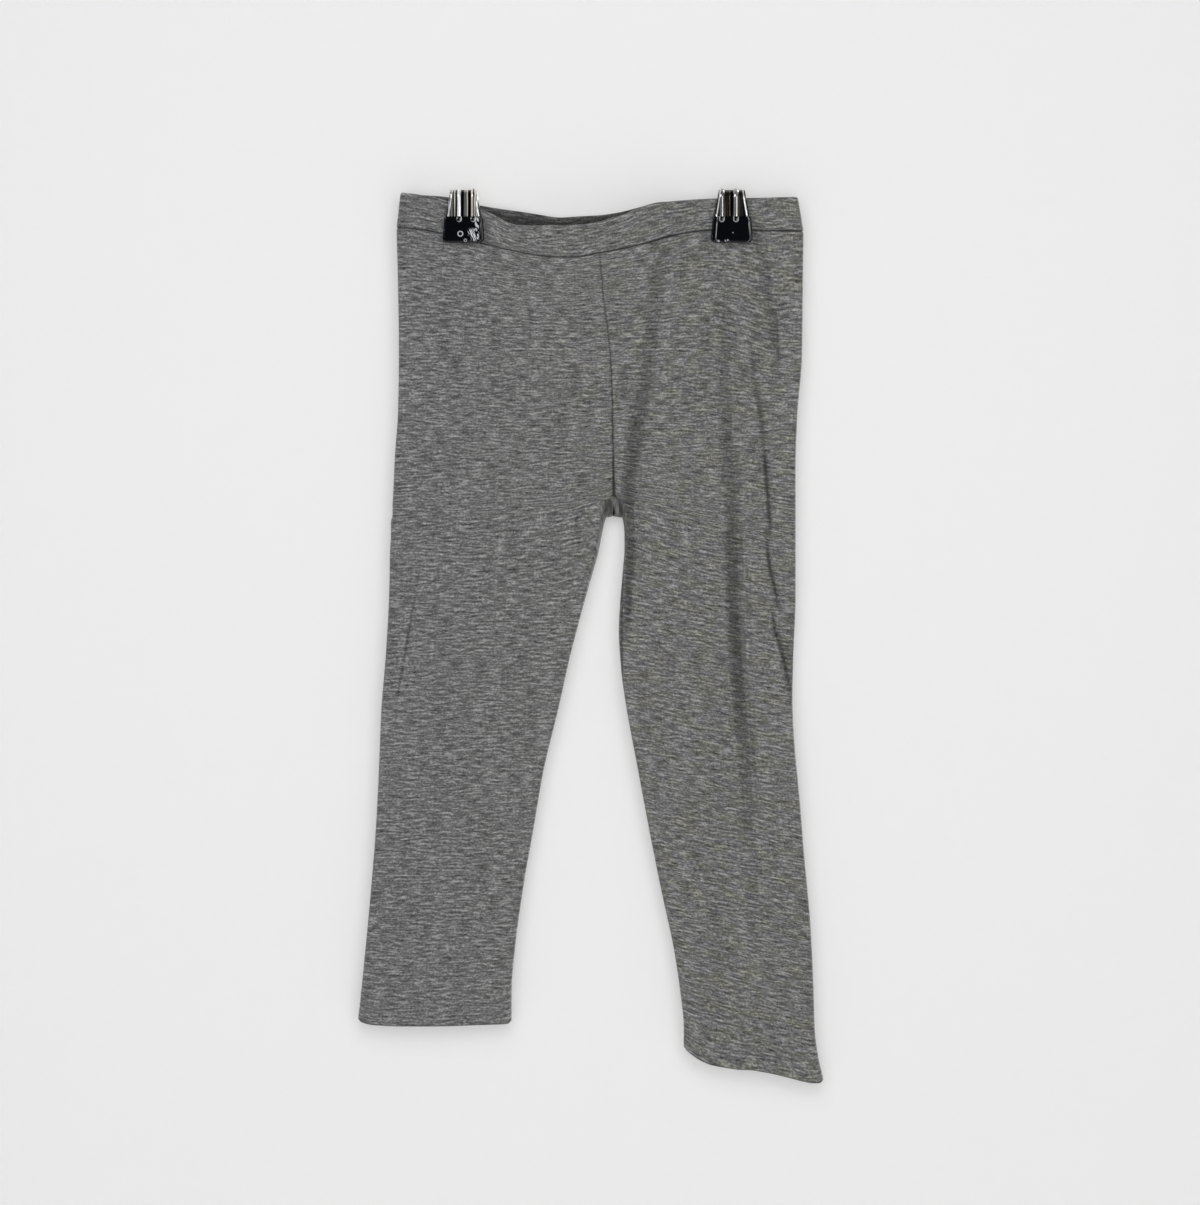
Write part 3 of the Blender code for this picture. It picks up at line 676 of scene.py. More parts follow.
def smooth(knots, values, at):
    """Cubic through a table's column that never overshoots between two of its rows."""
    step = np.diff(knots)
    slope = np.diff(values) / step
    before, after = slope[:-1], slope[1:]
    tangent = np.concatenate([slope[:1], np.zeros(len(before)), slope[-1:]])
    turning = before * after <= 0
    steepness = np.where(turning, 1.0, before + after)
    tangent[1:-1] = np.where(turning, 0.0, 2 * before * after / steepness)
    at = np.clip(at, knots[0], knots[-1])
    cell = np.clip(np.searchsorted(knots, at, side="right") - 1, 0, len(step) - 1)
    t = (at - knots[cell]) / step[cell]
    start = (1 + 2 * t) * (1 - t) ** 2 * values[cell]
    start = start + t * (1 - t) ** 2 * step[cell] * tangent[cell]
    end = t * t * (3 - 2 * t) * values[cell + 1]
    end = end + t * t * (t - 1) * step[cell] * tangent[cell + 1]
    return start + end


def ease(t):
    t = np.clip(t, 0.0, 1.0)
    return t * t * (3 - 2 * t)


def bell(x, middle, half_span):
    """1 at the middle, falling smoothly to 0 at half a span on either side."""
    reach = np.clip(np.abs(x - middle) / half_span, 0.0, 1.0)
    return np.cos(reach * math.pi / 2) ** 2


def soft_noise(x, z, width, length, seed):
    """Smooth random values from -1 to 1, on a lattice of cells of the width and length given."""
    cells = 64
    lattice = np.random.default_rng(seed).uniform(-1, 1, (cells, cells))
    a, b = x / width + cells / 2, z / length + cells / 2
    i, j = np.floor(a).astype(int), np.floor(b).astype(int)
    s, t = ease(a - i), ease(b - j)
    i, j, i_next, j_next = i % cells, j % cells, (i + 1) % cells, (j + 1) % cells
    low = lattice[i, j] * (1 - s) + lattice[i_next, j] * s
    high = lattice[i, j_next] * (1 - s) + lattice[i_next, j_next] * s
    return low * (1 - t) + high * t


def wall(off, width):
    """A crease's wall: 1 on its line, falling almost evenly to 0 where it ends."""
    t = np.clip(off / width, 0.0, 1.0)
    return 1 - t / 2 - ease(t) / 2


def trough(off, left, right):
    """Section of a crease: an even wall on its left, and a steep then gentle one on its right."""
    steep = STEEP_SHARE * wall(off, right) + (1 - STEEP_SHARE) * wall(off, right * GENTLE_WIDTH)
    return np.where(off < 0, wall(-off, left), steep)


def rippled(ripple, x, z, side):
    """A gentle unevenness of the cloth, of another pattern in front than behind."""
    wave = soft_noise(x + SIDE_SHIFT * side, z, ripple.width, ripple.length, ripple.seed)
    return ripple.height * wave


def crease_depth(x, z, side):
    """How far the creases and ripples push the cloth in; the centre seams stay smooth."""
    total = np.zeros(x.shape)
    for ripple in RIPPLES:
        total = total + rippled(ripple, x, z, side)
    for crease in CREASES:
        path = crease.path[::-1]
        off = x - read(path, "z", "x", z)
        pushed = read(path, "z", "depth", z) * trough(off, crease.left, crease.right)
        total = total + np.where(side == crease.side, pushed, 0.0)
    seam_x = read(CENTRE_SEAM, "z", "x", z)
    calm = np.where(z > CROTCH_Z, np.exp(-((x - seam_x) / SEAM_CALM) ** 2), 0.0)
    return total * (1 - calm)


def crease_shade(x, z, side):
    """How dark a crease's walls are: the one that faces away from the main light, and a lit one."""
    apart = crease_depth(x + SLOPE_STEP, z, side) - crease_depth(x - SLOPE_STEP, z, side)
    steepness = np.where(side == FRONT, 1, -1) * apart / (2 * SLOPE_STEP)
    return CREASE_SHADE * np.clip(steepness, LIT_WALL, 1.0)


def painted_lines(x, z, side):
    """How much painted shade lies along the dark side of some creases and the crotch's edges; below 0,
    how much painted light along some ridges.
    """
    total = np.zeros(x.shape)
    for line in PAINTED_LINES:
        path = line.path[::-1]
        off = x - read(path, "z", "x", z)
        shade = read(path, "z", "shade", z) * np.exp(-np.abs(off / line.half_width) ** line.power)
        total = total + np.where(side == line.side, shade, 0.0)
    return total


# %% Fullness, pinch and waist


def fold_path(width, along):
    """Across a flattened tube, from its outer fold: the distance across and the rounding.

    The rounding is 0 on a fold's outermost line and 1 on the flat between the two folds.
    """
    quarter = FOLD_RADIUS * math.pi / 2
    flat = width - 2 * FOLD_RADIUS
    outer_turn = np.clip(along / FOLD_RADIUS, 0.0, math.pi / 2)
    inner_turn = np.clip((along - quarter - flat) / FOLD_RADIUS, 0.0, math.pi / 2)
    across = FOLD_RADIUS * (1 - np.cos(outer_turn))
    across = across + np.clip(along - quarter, 0.0, flat) + FOLD_RADIUS * np.sin(inner_turn)
    return across, np.sin(outer_turn) * np.cos(inner_turn)


def path_length(width, stop):
    """Length along the cloth from the outer fold to a line at the distance stop across."""
    past_flat = np.clip((stop - width + FOLD_RADIUS) / FOLD_RADIUS, 0.0, 1.0)
    flat_part = np.minimum(stop - FOLD_RADIUS, width - 2 * FOLD_RADIUS)
    return FOLD_RADIUS * math.pi / 2 + flat_part + FOLD_RADIUS * np.arcsin(past_flat)


def fullness(front, back, side, from_outer, from_inner):
    """Half depth of the garment, thinner towards its folds than in the middle."""
    middle = np.where(side == FRONT, front, back)
    outer_part = 1 - np.exp(-np.maximum(from_outer, 0) / FULLNESS_REACH)
    inner_part = 1 - np.exp(-np.maximum(from_inner, 0) / FULLNESS_REACH)
    return middle * (EDGE_FULLNESS + (1 - EDGE_FULLNESS) * outer_part * inner_part)


def pressed(x, z):
    """1 where a clip presses the front and the back together, falling to 0 away from it."""
    below = ease((z - PINCH_FADE_Z) / (PINCH_BOTTOM_Z - PINCH_FADE_Z))
    most = np.zeros(np.broadcast(x, z).shape)
    for clip_x in CLIP_X:
        beyond = np.maximum(np.abs(x - clip_x) - PINCH_HALF_WIDTH, 0.0)
        most = np.maximum(most, np.exp(-(beyond / PINCH_SPREAD) ** 2) * below)
    return most


def waist_seam_sag(x, side):
    sag = np.where(side == FRONT, WAIST_SEAM.front_sag, WAIST_SEAM.back_sag)
    lift = np.where(side == FRONT, read(FRONT_SEAM_LIFT, "x", "up", x), 0.0)
    return sag * bell(x, WAIST_SEAM.middle_x, WAIST_SEAM.half_span) - lift


def hem_drop(leg, share_from_inner):
    return read(leg.hem, "share", "drop", share_from_inner)


def crotch_hollow(x, z):
    """1 where the cloth lies back between the front edges of the legs, in a wedge that opens down."""
    opened = np.clip((HOLLOW_TOP_Z - z) / HOLLOW_HEIGHT, 0, 1)
    half = HOLLOW_HALF_WIDTH * np.sqrt(opened)
    inside = ease((half - np.abs(x - HOLLOW_X)) / HOLLOW_EDGE + 0.5)
    return inside * ease((HOLLOW_TOP_Z + HOLLOW_TOP_RISE - z) / HOLLOW_TOP_FADE)


# %% [markdown]
# ## Building a sheet
#
# Each cloth piece is a grid of points on its outer face. Where two pieces are sewn together, the
# edge of each one turns in, so the seam is a narrow groove between two soft shoulders. Solidify then
# gives the jersey its thickness, inwards. The grid also carries the UV map of the cloth, in metres
# along and across the courses, and the shade painted into its colour at each place: in the seams,
# the creases and the crotch hollow, inside the waistband and inside the hem, with a little painted
# light where it is below 0.

# %% Sheet helpers
JERSEY_THICKNESS = 0.0007
GROOVE_DEPTH = 0.0009
GROOVE_WIDTH = 0.0007
SEAM_STEPS = np.array([0, 3, 6, 9, 13, 18, 24, 31, 38, 45, 52, 59, 67]) / 10000
SEAM_WAIST_SHADE = 0.20
SEAM_SHADE_STEPS = ((-0.040, 0.020, 0.35), (-0.060, 0.110, 0.45))


def unit(vectors):
    return vectors / np.maximum(np.linalg.norm(vectors, axis=-1, keepdims=True), 1e-12)


def seam_shade(z):
    """Painted shade along the centre seams: fine at the waist and deep above the crotch."""
    shade = SEAM_WAIST_SHADE
    for start_z, reach, more in SEAM_SHADE_STEPS:
        shade = shade + more * ease((start_z - z) / reach)
    return shade


def normals(points, outward):
    """Unit normals of a grid of points; outward is 1 or -1."""
    across = np.gradient(points, axis=1)
    down = np.gradient(points, axis=0)
    return outward * unit(np.cross(across, down))


def groove(from_seam):
    return GROOVE_DEPTH * np.exp(-(from_seam / GROOVE_WIDTH) ** 2)


def store(mesh, label, values):
    """Gives a mesh a number at each of its points, for its material to read."""
    mesh.attributes.new(label, "FLOAT", "POINT").data.foreach_set("value", values.ravel())


def sheet_mesh(name, points, cloth=None, flipped=False, closed=False):
    """A mesh of quads through a grid of points, with the UV map of its cloth if it has one."""
    rows, columns = points.shape[:2]
    if cloth is None:
        cloth = np.zeros((rows, columns + closed, 2))
    corner = np.arange(rows * columns).reshape(rows, columns)
    place = np.arange(cloth.shape[0] * cloth.shape[1]).reshape(cloth.shape[:2])
    if closed:
        corner = np.concatenate([corner, corner[:, :1]], axis=1)
    quads = [np.stack([grid[:-1, :-1], grid[:-1, 1:], grid[1:, 1:], grid[1:, :-1]], axis=-1)
             for grid in (corner, place)]
    if flipped:
        quads = [quad[..., ::-1] for quad in quads]
    mesh = bpy.data.meshes.new(name)
    mesh.from_pydata(points.reshape(-1, 3), [], quads[0].reshape(-1, 4).tolist())
    layer = mesh.uv_layers.new(name="cloth")
    layer.data.foreach_set("uv", cloth.reshape(-1, 2)[quads[1].reshape(-1)].ravel())
    return mesh


def add_piece(name, mesh, material, slot, *nodes):
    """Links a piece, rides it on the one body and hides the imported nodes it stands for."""
    piece = link_object(name, mesh)
    if not mesh.materials:
        mesh.materials.append(material)
    mesh.shade_smooth()
    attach(piece, "root")
    if nodes:
        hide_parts(*nodes)
    return piece


def add_wall(piece, thickness, offset=-1.0):
    wall = piece.modifiers.new("wall", "SOLIDIFY")
    wall.thickness = thickness
    wall.offset = offset


def half_turn(edge, onward, normal, radius, steps):
    """Rows of points that bend an edge through half a turn, inwards, and the angle of each row."""
    turns = [math.pi * step / steps for step in range(1, steps + 1)]
    bent = [edge + onward * radius * math.sin(turn) for turn in turns]
    rows = [(row - normal * radius * (1 - math.cos(turn)))[None] for row, turn in zip(bent, turns)]
    return rows, turns


def make_sheet(name, points, cloth, painted_shade, node, flipped=False, closed=False):
    """A sheet of jersey with its thickness and its painted shade: 0 on open cloth, 1 where it is
    darkest, and below 0 painted light.
    """
    mesh = sheet_mesh(name, points, cloth, flipped, closed)
    store(mesh, "painted_shade", painted_shade)
    piece = add_piece(name, mesh, jersey, "jersey", node)
    add_wall(piece, JERSEY_THICKNESS)
    print(name, "grid", points.shape[:2])
    return piece


# %% [markdown]
# ## Legs
#
# Each leg is one panel of jersey that runs from the centre-front seam, round the outer fold of the
# leg, to the centre-back seam, and closes on itself at the inseam below the crotch. The rows of the
# grid are courses of the knit. At the bottom the cloth turns up inside for the hem.

# %% Leg surface
FRONT_STEP = 0.00115
CREASED_STEP = 0.0006
CREASED_WIDTH = 0.050
BACK_STEP = 0.0022
COURSE_STEP = 0.0040
CROTCH_STEP = 0.0008
CROTCH_ZONE = (0.010, 0.014)
HEM_STEP = 0.00125
HEM_ZONE = 0.0200
NEEDLE_ROWS = (0.0081, 0.0122)
NEEDLE_GROOVE = 0.00030
NEEDLE_GROOVE_WIDTH = 0.0007
NEEDLE_STEPS = np.array([-0.0010, -0.0005, 0.0, 0.0005, 0.0010])
HEM_RADIUS = 0.00075
HEM_TURN_STEPS = 6
HEM_EDGE_ROWS = 6
TURN_UP = 0.0140
DRAG_DROP = 0.0085
DRAG_REACH = 0.045
DRAG_INNER_X = 0.070
DRAG_MIDDLE_Z, DRAG_HALF_SPAN = -0.085, 0.075
SEAM_END_FADE, SEAM_END_START, SEAM_END_LEAST = 0.004, 0.25, 0.3
WIDER_SEAM_Z, WIDER_SEAM_FADE, WIDER_SEAM = -0.165, 0.020, 0.6
HEM_INSIDE_SHADE = 0.39

Row = namedtuple("Row", "outer_x outer_z inner_x inner_z width length")


def leg_row(leg, down):
    """Where a course's two ends lie, how wide the leg is there, and the cloth from fold to seam."""
    ends = [read(leg.courses, "down", name, down)
            for name in ("outer_x", "outer_z", "inner_x", "inner_z")]
    outer_x, _, inner_x, inner_z = ends
    width = np.abs(inner_x - outer_x)
    seam_x = read(CENTRE_SEAM, "z", "x", inner_z)
    stop = np.minimum(width, np.abs(seam_x - outer_x) + SEAM_OVERLAP)
    return Row(*ends, width, path_length(width, stop))


def leg_points(leg, down, side, along):
    """Outer face of a leg, for arrays of distances down from the waist and along from the fold."""
    row = leg_row(leg, down)
    across, rounding = fold_path(row.width, along)
    share = across / row.width
    x = row.outer_x + leg.inwards * across
    course_z = row.outer_z + (row.inner_z - row.outer_z) * share
    front, back = (read(FULLNESS, "z", name, course_z) for name in ("front", "back"))
    depth = fullness(front, back, side, across, row.width - across)
    depth = (depth + (GRIP - depth) * pressed(x, course_z)) * rounding
    near_crotch = np.exp(-((course_z - CROTCH_Z) / CROTCH_LIFT_HEIGHT) ** 2)
    near_crotch = near_crotch * np.exp(-(row.width - across) / CROTCH_LIFT_REACH)
    lift = np.where(side == FRONT, FRONT_LIFT, -BACK_LIFT)
    z = course_z + lift * depth * near_crotch
    z = z - waist_seam_sag(x, side) * np.exp(-down / WAIST_SAG_FADE)
    above_hem = leg.courses[-1].down - down
    z = z - hem_drop(leg, 1 - share) * np.exp(-above_hem / HEM_FADE)
    calm = 1 - pressed(x, course_z) ** 2
    depth = depth - crease_depth(x, z, side) * rounding * calm
    hollow = np.where(side == FRONT, crotch_hollow(x, z), 0.0)
    depth = depth * (1 - HOLLOW_DEPTH * hollow)
    return np.stack([x, side * depth, z], axis=-1)


def even_steps(start, stop, step):
    """Even steps from start up to but without stop."""
    return np.linspace(start, stop, max(round((stop - start) / step), 1) + 1)[:-1]


def along_steps(length, longest, side):
    """Distances along a course from its fold to its seam, closest where the cloth creases most."""
    plain = longest - SEAM_STEPS[-1]
    if side == FRONT:
        shares = np.concatenate([even_steps(0.0, CREASED_WIDTH, CREASED_STEP),
                                 even_steps(CREASED_WIDTH, plain, FRONT_STEP)]) / plain
    else:
        shares = even_steps(0.0, plain, BACK_STEP) / plain
    return np.concatenate([shares[None, :] * (length - SEAM_STEPS[-1]),
                           length - SEAM_STEPS[::-1][None, :]], axis=1)


def course_steps(leg):
    """Distances down a leg: close at the waist seam, the crotch and the hem, even between them."""
    last = leg.courses[-1].down
    zone = last - HEM_ZONE
    crotch = (leg.crotch_down - CROTCH_ZONE[0], leg.crotch_down + CROTCH_ZONE[1])
    needles = [last - row + NEEDLE_STEPS for row in NEEDLE_ROWS[::-1]]
    return np.concatenate([
        SEAM_STEPS[:-1],
        even_steps(SEAM_STEPS[-1], crotch[0], COURSE_STEP),
        even_steps(crotch[0], crotch[1], CROTCH_STEP),
        even_steps(crotch[1], zone, COURSE_STEP),
        even_steps(zone, needles[0][0], 2 * HEM_STEP),
        needles[0],
        even_steps(needles[0][-1], needles[1][0], HEM_STEP)[1:],
        needles[1],
        np.linspace(needles[1][-1], last - HEM_RADIUS, HEM_EDGE_ROWS)[1:],
    ])


# %% Leg sheets


def drag_shift(x, z):
    """The courses below the left leg's clip are dragged down towards the outside."""
    return DRAG_DROP * ease((x - DRAG_INNER_X) / DRAG_REACH) * bell(z, DRAG_MIDDLE_Z, DRAG_HALF_SPAN)


def turn_up_hem(outer, normal, cloth, above_edge):
    """Adds the hem to a leg's grid: half a turn at the bottom edge, then up again inside."""
    downward = unit(outer[-1] - outer[-2])
    rows, turns = half_turn(outer[-1], downward, normal[-1], HEM_RADIUS, HEM_TURN_STEPS)
    points = [outer] + rows
    places = [cloth] + [(cloth[-1] + np.array([0, HEM_RADIUS * turn]))[None] for turn in turns]
    turned = places[-1][0]
    for row in np.flatnonzero(above_edge < TURN_UP)[-2::-2]:
        points.append((outer[row] - normal[row] * 2 * HEM_RADIUS)[None])
        places.append((turned + np.array([0, above_edge[row]]))[None])
    return np.concatenate(points), np.concatenate(places)


def seam_grooves(leg, row, x, z, down, along, side):
    """How deep the seams and the needle rows lie in a leg, and the painted shade at each place."""
    hollow = crotch_hollow(x, z) * (side == FRONT)
    above_crotch = (z - CROTCH_Z) / SEAM_END_FADE
    seam = groove(row.length - along) * (1 - hollow)
    seam = seam * (SEAM_END_LEAST + (1 - SEAM_END_LEAST) * ease(1 + above_crotch))
    seam = seam * ease(SEAM_END_START + above_crotch)
    # Painted shade in the centre seam's groove and in the waist seam's groove.
    wider = 1 - WIDER_SEAM * ease((WIDER_SEAM_Z - z) / WIDER_SEAM_FADE)
    centre = (seam / GROOVE_DEPTH) ** wider * seam_shade(z)
    painted_shade = np.maximum(centre, groove(down) / GROOVE_DEPTH * SEAM_LINE_SHADE)
    # Painted shade along the crotch hollow's edges and inside its half towards the left leg; painted
    # light inside its half towards the right leg.
    to_left = ease((x - HOLLOW_X) / HOLLOW_BLEND + 0.5)
    inside, edge = (right + (left - right) * to_left
                    for right, left in (HOLLOW_SHADE, HOLLOW_EDGE_SHADE))
    painted_shade = painted_shade + inside * hollow + 4 * edge * hollow * (1 - hollow)
    # Painted lines, and painted shade and light on the creases' walls.
    painted_shade = painted_shade + painted_lines(x, z, side) + crease_shade(x, z, side)
    sunk = np.maximum(seam, groove(down))
    for above in NEEDLE_ROWS:
        pulled = np.exp(-((leg.courses[-1].down - down - above) / NEEDLE_GROOVE_WIDTH) ** 2)
        sunk = sunk + NEEDLE_GROOVE * pulled
    return sunk, painted_shade


def leg_grid(leg):
    """Points of a leg panel's outer face, its cloth map, and the panel's flat size and area."""
    last = leg.courses[-1].down
    down = course_steps(leg)[:, None]
    row = leg_row(leg, down)
    longest = float(row.length.max())
    front, back = (along_steps(row.length, longest, side) for side in (FRONT, BACK))
    along = np.concatenate([front[:, ::-1], back[:, 1:]], axis=1)
    side = np.repeat([FRONT, BACK], [front.shape[1], back.shape[1] - 1])[None, :]
    down, side = (np.broadcast_to(values, along.shape) for values in (down, side))
    points = leg_points(leg, down, side, along)
    normal = normals(points, leg.inwards)
    sunk, painted_shade = seam_grooves(leg, row, points[..., 0], points[..., 2], down, along, side)
    points = points - normal * sunk[..., None]
    shift = drag_shift(points[..., 0], points[..., 2]) * (side == FRONT)
    cloth = np.stack([side * along, down - shift], axis=-1)
    points, cloth = turn_up_hem(points, normal, cloth, last - down[:, 0])
    # The inside of the turned-up hem gets an even painted shade.
    turned_up = np.full((len(points) - len(painted_shade), painted_shade.shape[1]), HEM_INSIDE_SHADE)
    painted_shade = np.concatenate([painted_shade, turned_up])
    flat = (2 * longest, last + TURN_UP)
    area = float(np.trapz(2 * row.length[:, 0], down[:, 0])) + 2 * float(row.length[-1, 0]) * TURN_UP
    return points, cloth, painted_shade, flat, area


def make_leg(leg):
    points, cloth, painted_shade, flat, area = leg_grid(leg)
    piece = make_sheet(leg.name, points, cloth, painted_shade, leg.node, flipped=leg.inwards < 0)
    print("flat size", [round(length, 3) for length in flat], "area", round(area, 4))
    return piece, flat, area


right_leg, right_flat, right_area = make_leg(RIGHT_LEG)
left_leg, left_flat, left_area = make_leg(LEFT_LEG)

# %% [markdown]
# ## Waistband
#
# The waistband is a straight strip of the same jersey, folded lengthways over an elastic and sewn
# into a ring. Its grid starts at the seam, climbs the outside, turns over at the top and goes down
# again inside. The clips press its front and its back together.

# %% Waistband sheet
BAND_STEP = 0.0013
BAND_HEIGHT = 0.0240
BAND_RIPPLE = Ripple(0.00022, 0.013, 0.030, 21)
BAND_CLOTH_START = 0.3
TURN_SHADE_SPAN, TURN_SHADE_START = 7.2, 3.2
BAND_ROWS = 13
BAND_RADIUS = 0.0010
BAND_TURN_STEPS = 7
INSIDE_SHADE = 0.62
DEEP_SHADE = 1.0
DEEP_REACH = 0.0060


def band_points(rise, around):
    """Outer face of the waistband; around is 0 to 1 along the front, then 1 to 2 along the back."""
    left_x, right_x, front, back = (
        np.interp(rise, column(BAND_EDGES, "rise"), column(BAND_EDGES, name))
        for name in ("left_x", "right_x", "front", "back")
    )
    width = right_x - left_x
    side = np.where(around <= 1, FRONT, BACK)
    share = np.where(around <= 1, around, 2 - around)
    across, rounding = fold_path(width, share * path_length(width, width))
    x = left_x + across
    bottom_z = WAIST_SEAM.z_centre + WAIST_SEAM.slope * x - waist_seam_sag(x, side) - SEAM_OVERLAP
    front_top, back_top = (read(top, "x", "z", x) for top in (FRONT_TOP, BACK_TOP))
    z = bottom_z + (np.where(side == FRONT, front_top, back_top) - bottom_z) * rise
    depth = fullness(front, back, side, across, width - across)
    hold = pressed(x, np.full(x.shape, WAIST_SEAM.z_centre))
    depth = (depth + (GRIP - depth) * hold) * rounding
    depth = depth - rippled(BAND_RIPPLE, x, z, side) * rounding * (1 - hold)
    return np.stack(np.broadcast_arrays(x, side * depth, z), axis=-1)


def band_grid():
    """Points of the waistband's outer face and its inside, its cloth map, shade and flat size."""
    perimeter = 2 * (BAND_EDGES[0].right_x - BAND_EDGES[0].left_x)
    columns = round(perimeter / BAND_STEP)
    around = np.arange(columns)[None, :] * 2 / columns
    low = SEAM_STEPS / BAND_HEIGHT
    high = np.linspace(low[-1], 1 - BAND_RADIUS / BAND_HEIGHT, BAND_ROWS)[1:]
    rise = np.concatenate([low, high])[:, None]
    shape = (len(rise), columns)
    rise, around = (np.broadcast_to(values, shape) for values in (rise, around))
    outer = band_points(rise, around)
    ring = np.concatenate([outer[:, -1:], outer, outer[:, :1]], axis=1)
    normal = normals(ring, 1)[:, 1:-1]
    sunk = groove(rise * BAND_HEIGHT)
    upward = unit(outer[-1] - outer[-2])
    turn_over, _ = half_turn(outer[-1], upward, normal[-1], BAND_RADIUS, BAND_TURN_STEPS)
    inside = (outer[:-1] - normal[:-1] * 2 * BAND_RADIUS)[::-2]
    points = np.concatenate([outer - normal * sunk[..., None], *turn_over, inside])
    # Painted shade: along the seam's groove, rising over the top turn, and on the inside, darkest deep
    # down.
    turned = np.linspace(0.0, TURN_SHADE_SPAN, BAND_TURN_STEPS + 1)[1:, None] - TURN_SHADE_START
    turned = ease(turned) * np.ones((1, columns))
    deep = ease((1 - rise[:-1][::-2]) * BAND_HEIGHT / DEEP_REACH)
    inner = INSIDE_SHADE + (DEEP_SHADE - INSIDE_SHADE) * deep
    painted_shade = np.concatenate([SEAM_LINE_SHADE * sunk / GROOVE_DEPTH, turned * INSIDE_SHADE, inner])
    along = np.linspace(0.0, perimeter, columns + 1)
    climb = np.linalg.norm(np.diff(points, axis=0), axis=-1).mean(axis=1)
    climb = np.concatenate([[0.0], np.cumsum(climb)])
    cloth = np.stack(np.meshgrid(along, -climb - BAND_CLOTH_START), axis=-1)
    return points, cloth, painted_shade, (perimeter, float(climb[-1]))


def make_waistband():
    points, cloth, painted_shade, flat = band_grid()
    piece = make_sheet("waistband_jersey", points, cloth, painted_shade, "waistband", closed=True)
    print("flat size", [round(length, 4) for length in flat])
    return piece, flat


waistband, band_flat = make_waistband()

# %% [markdown]
# ## Hem stitches
#
# A coverstitch holds the turned-up hem: two needles sew parallel rows of short stitches outside,
# and a looper thread zigzags between them inside. Stitches repeat along a path, which is what
# Geometry Nodes do best: one tree takes a loop of edges, spaces points along it and puts a small
# grain of thread on each. The sizes are named inputs, and the result is turned into a plain mesh.

# %% Stitch tree
STITCH_PITCH = 0.0025
STITCH_LENGTH = 0.0018
THREAD = 0.00050
STITCH_WOBBLE = 0.00016
STITCH_PROUD = -0.00018
LOOPER_THREAD = 0.00017
LOOP_POINTS = 260
TWISTS_PER_METRE = 2600.0


def new_group(name, inputs):
    """A Geometry Nodes group with a geometry in and out and the named inputs given."""
    tree = bpy.data.node_groups.new(name, "GeometryNodeTree")
    tree.interface.new_socket("Geometry", in_out="OUTPUT", socket_type="NodeSocketGeometry")
    tree.interface.new_socket("Geometry", in_out="INPUT", socket_type="NodeSocketGeometry")
    for label, kind in inputs.items():
        tree.interface.new_socket(label, in_out="INPUT", socket_type="NodeSocket" + kind)
    source = tree.nodes.new("NodeGroupInput")
    return tree, {socket.name: Wire(tree, socket) for socket in source.outputs if socket.name}


def end_group(tree, geometry, material):
    """Every tree ends the same way: real geometry, shaded smooth, with its material."""
    real = add_node(tree, "GeometryNodeRealizeInstances", {}, {"Geometry": geometry})
    even = add_node(tree, "GeometryNodeSetShadeSmooth", {}, {"Geometry": real})
    sockets = {"Geometry": even, "Material": material}
    dressed = add_node(tree, "GeometryNodeSetMaterial", {}, sockets)
    tree.links.new(dressed.socket, tree.nodes.new("NodeGroupOutput").inputs[0])


def stitch_group():
    kinds = {"Pitch": "Float", "Grain": "Vector", "Wobble": "Float", "Seed": "Int",
             "Thread": "Material"}
    tree, given = new_group("coverstitch", kinds)
    path = add_node(tree, "GeometryNodeMeshToCurve", {}, {"Mesh": given["Geometry"]})
    spaced = add_node(tree, "GeometryNodeResampleCurve", {"mode": "LENGTH"},
                      {"Curve": path, "Length": given["Pitch"]})
    tangent = add_node(tree, "GeometryNodeInputTangent", {}, {})
    turn = add_node(tree, "FunctionNodeAlignRotationToVector", {"axis": "X"}, {"Vector": tangent})
    shake = add_node(tree, "FunctionNodeRandomValue", {"data_type": "FLOAT_VECTOR"},
                     {"Min": given["Wobble"] * -1.0, "Max": given["Wobble"], "Seed": given["Seed"]})
    shaken = add_node(tree, "GeometryNodeSetPosition", {}, {"Geometry": spaced, "Offset": shake})
    grain = add_node(tree, "GeometryNodeMeshUVSphere", {}, {"Segments": 8, "Rings": 5, "Radius": 0.5})
    placed = add_node(tree, "GeometryNodeInstanceOnPoints", {},
                      {"Points": shaken, "Instance": grain, "Rotation": turn, "Scale": given["Grain"]})
    end_group(tree, placed, given["Thread"])
    return tree


def thread_group():
    tree, given = new_group("looper thread", {"Radius": "Float", "Thread": "Material"})
    path = add_node(tree, "GeometryNodeMeshToCurve", {}, {"Mesh": given["Geometry"]})
    ring = add_node(tree, "GeometryNodeCurvePrimitiveCircle", {},
                    {"Resolution": 5, "Radius": given["Radius"]})
    tube = add_node(tree, "GeometryNodeCurveToMesh", {}, {"Curve": path, "Profile Curve": ring})
    end_group(tree, tube, given["Thread"])
    return tree


def run_group(name, points, tree, values):
    """Runs a tree on a closed loop of edges and returns the result as a plain mesh."""
    count = len(points)
    edges = [(i, (i + 1) % count) for i in range(count)]
    loop = bpy.data.meshes.new(name)
    loop.from_pydata([tuple(point) for point in points], edges, [])
    carrier = link_object(name, loop)
    modifier = carrier.modifiers.new(name, "NODES")
    modifier.node_group = tree
    for socket in tree.interface.items_tree:
        if socket.name in values:
            modifier[socket.identifier] = values[socket.name]
    graph = bpy.context.evaluated_depsgraph_get()
    mesh = bpy.data.meshes.new_from_object(carrier.evaluated_get(graph))
    carrier.modifiers.remove(modifier)
    bpy.data.objects.remove(carrier)
    return mesh


def thread_material():
    """Spun polyester thread: a light grey with a faint twist."""
    material, tree, shader = new_material("hem_thread", Roughness=0.9)
    twist = noise(object_place(tree), detail=2.0, scale=TWISTS_PER_METRE)
    feed(shader, "Base Color", ramp(twist, (0.35, grey(0.110)), (0.65, grey(0.230))))
    feed_bump(shader, twist, 0.4, 0.0001)
    return material


# %% Hem stitches


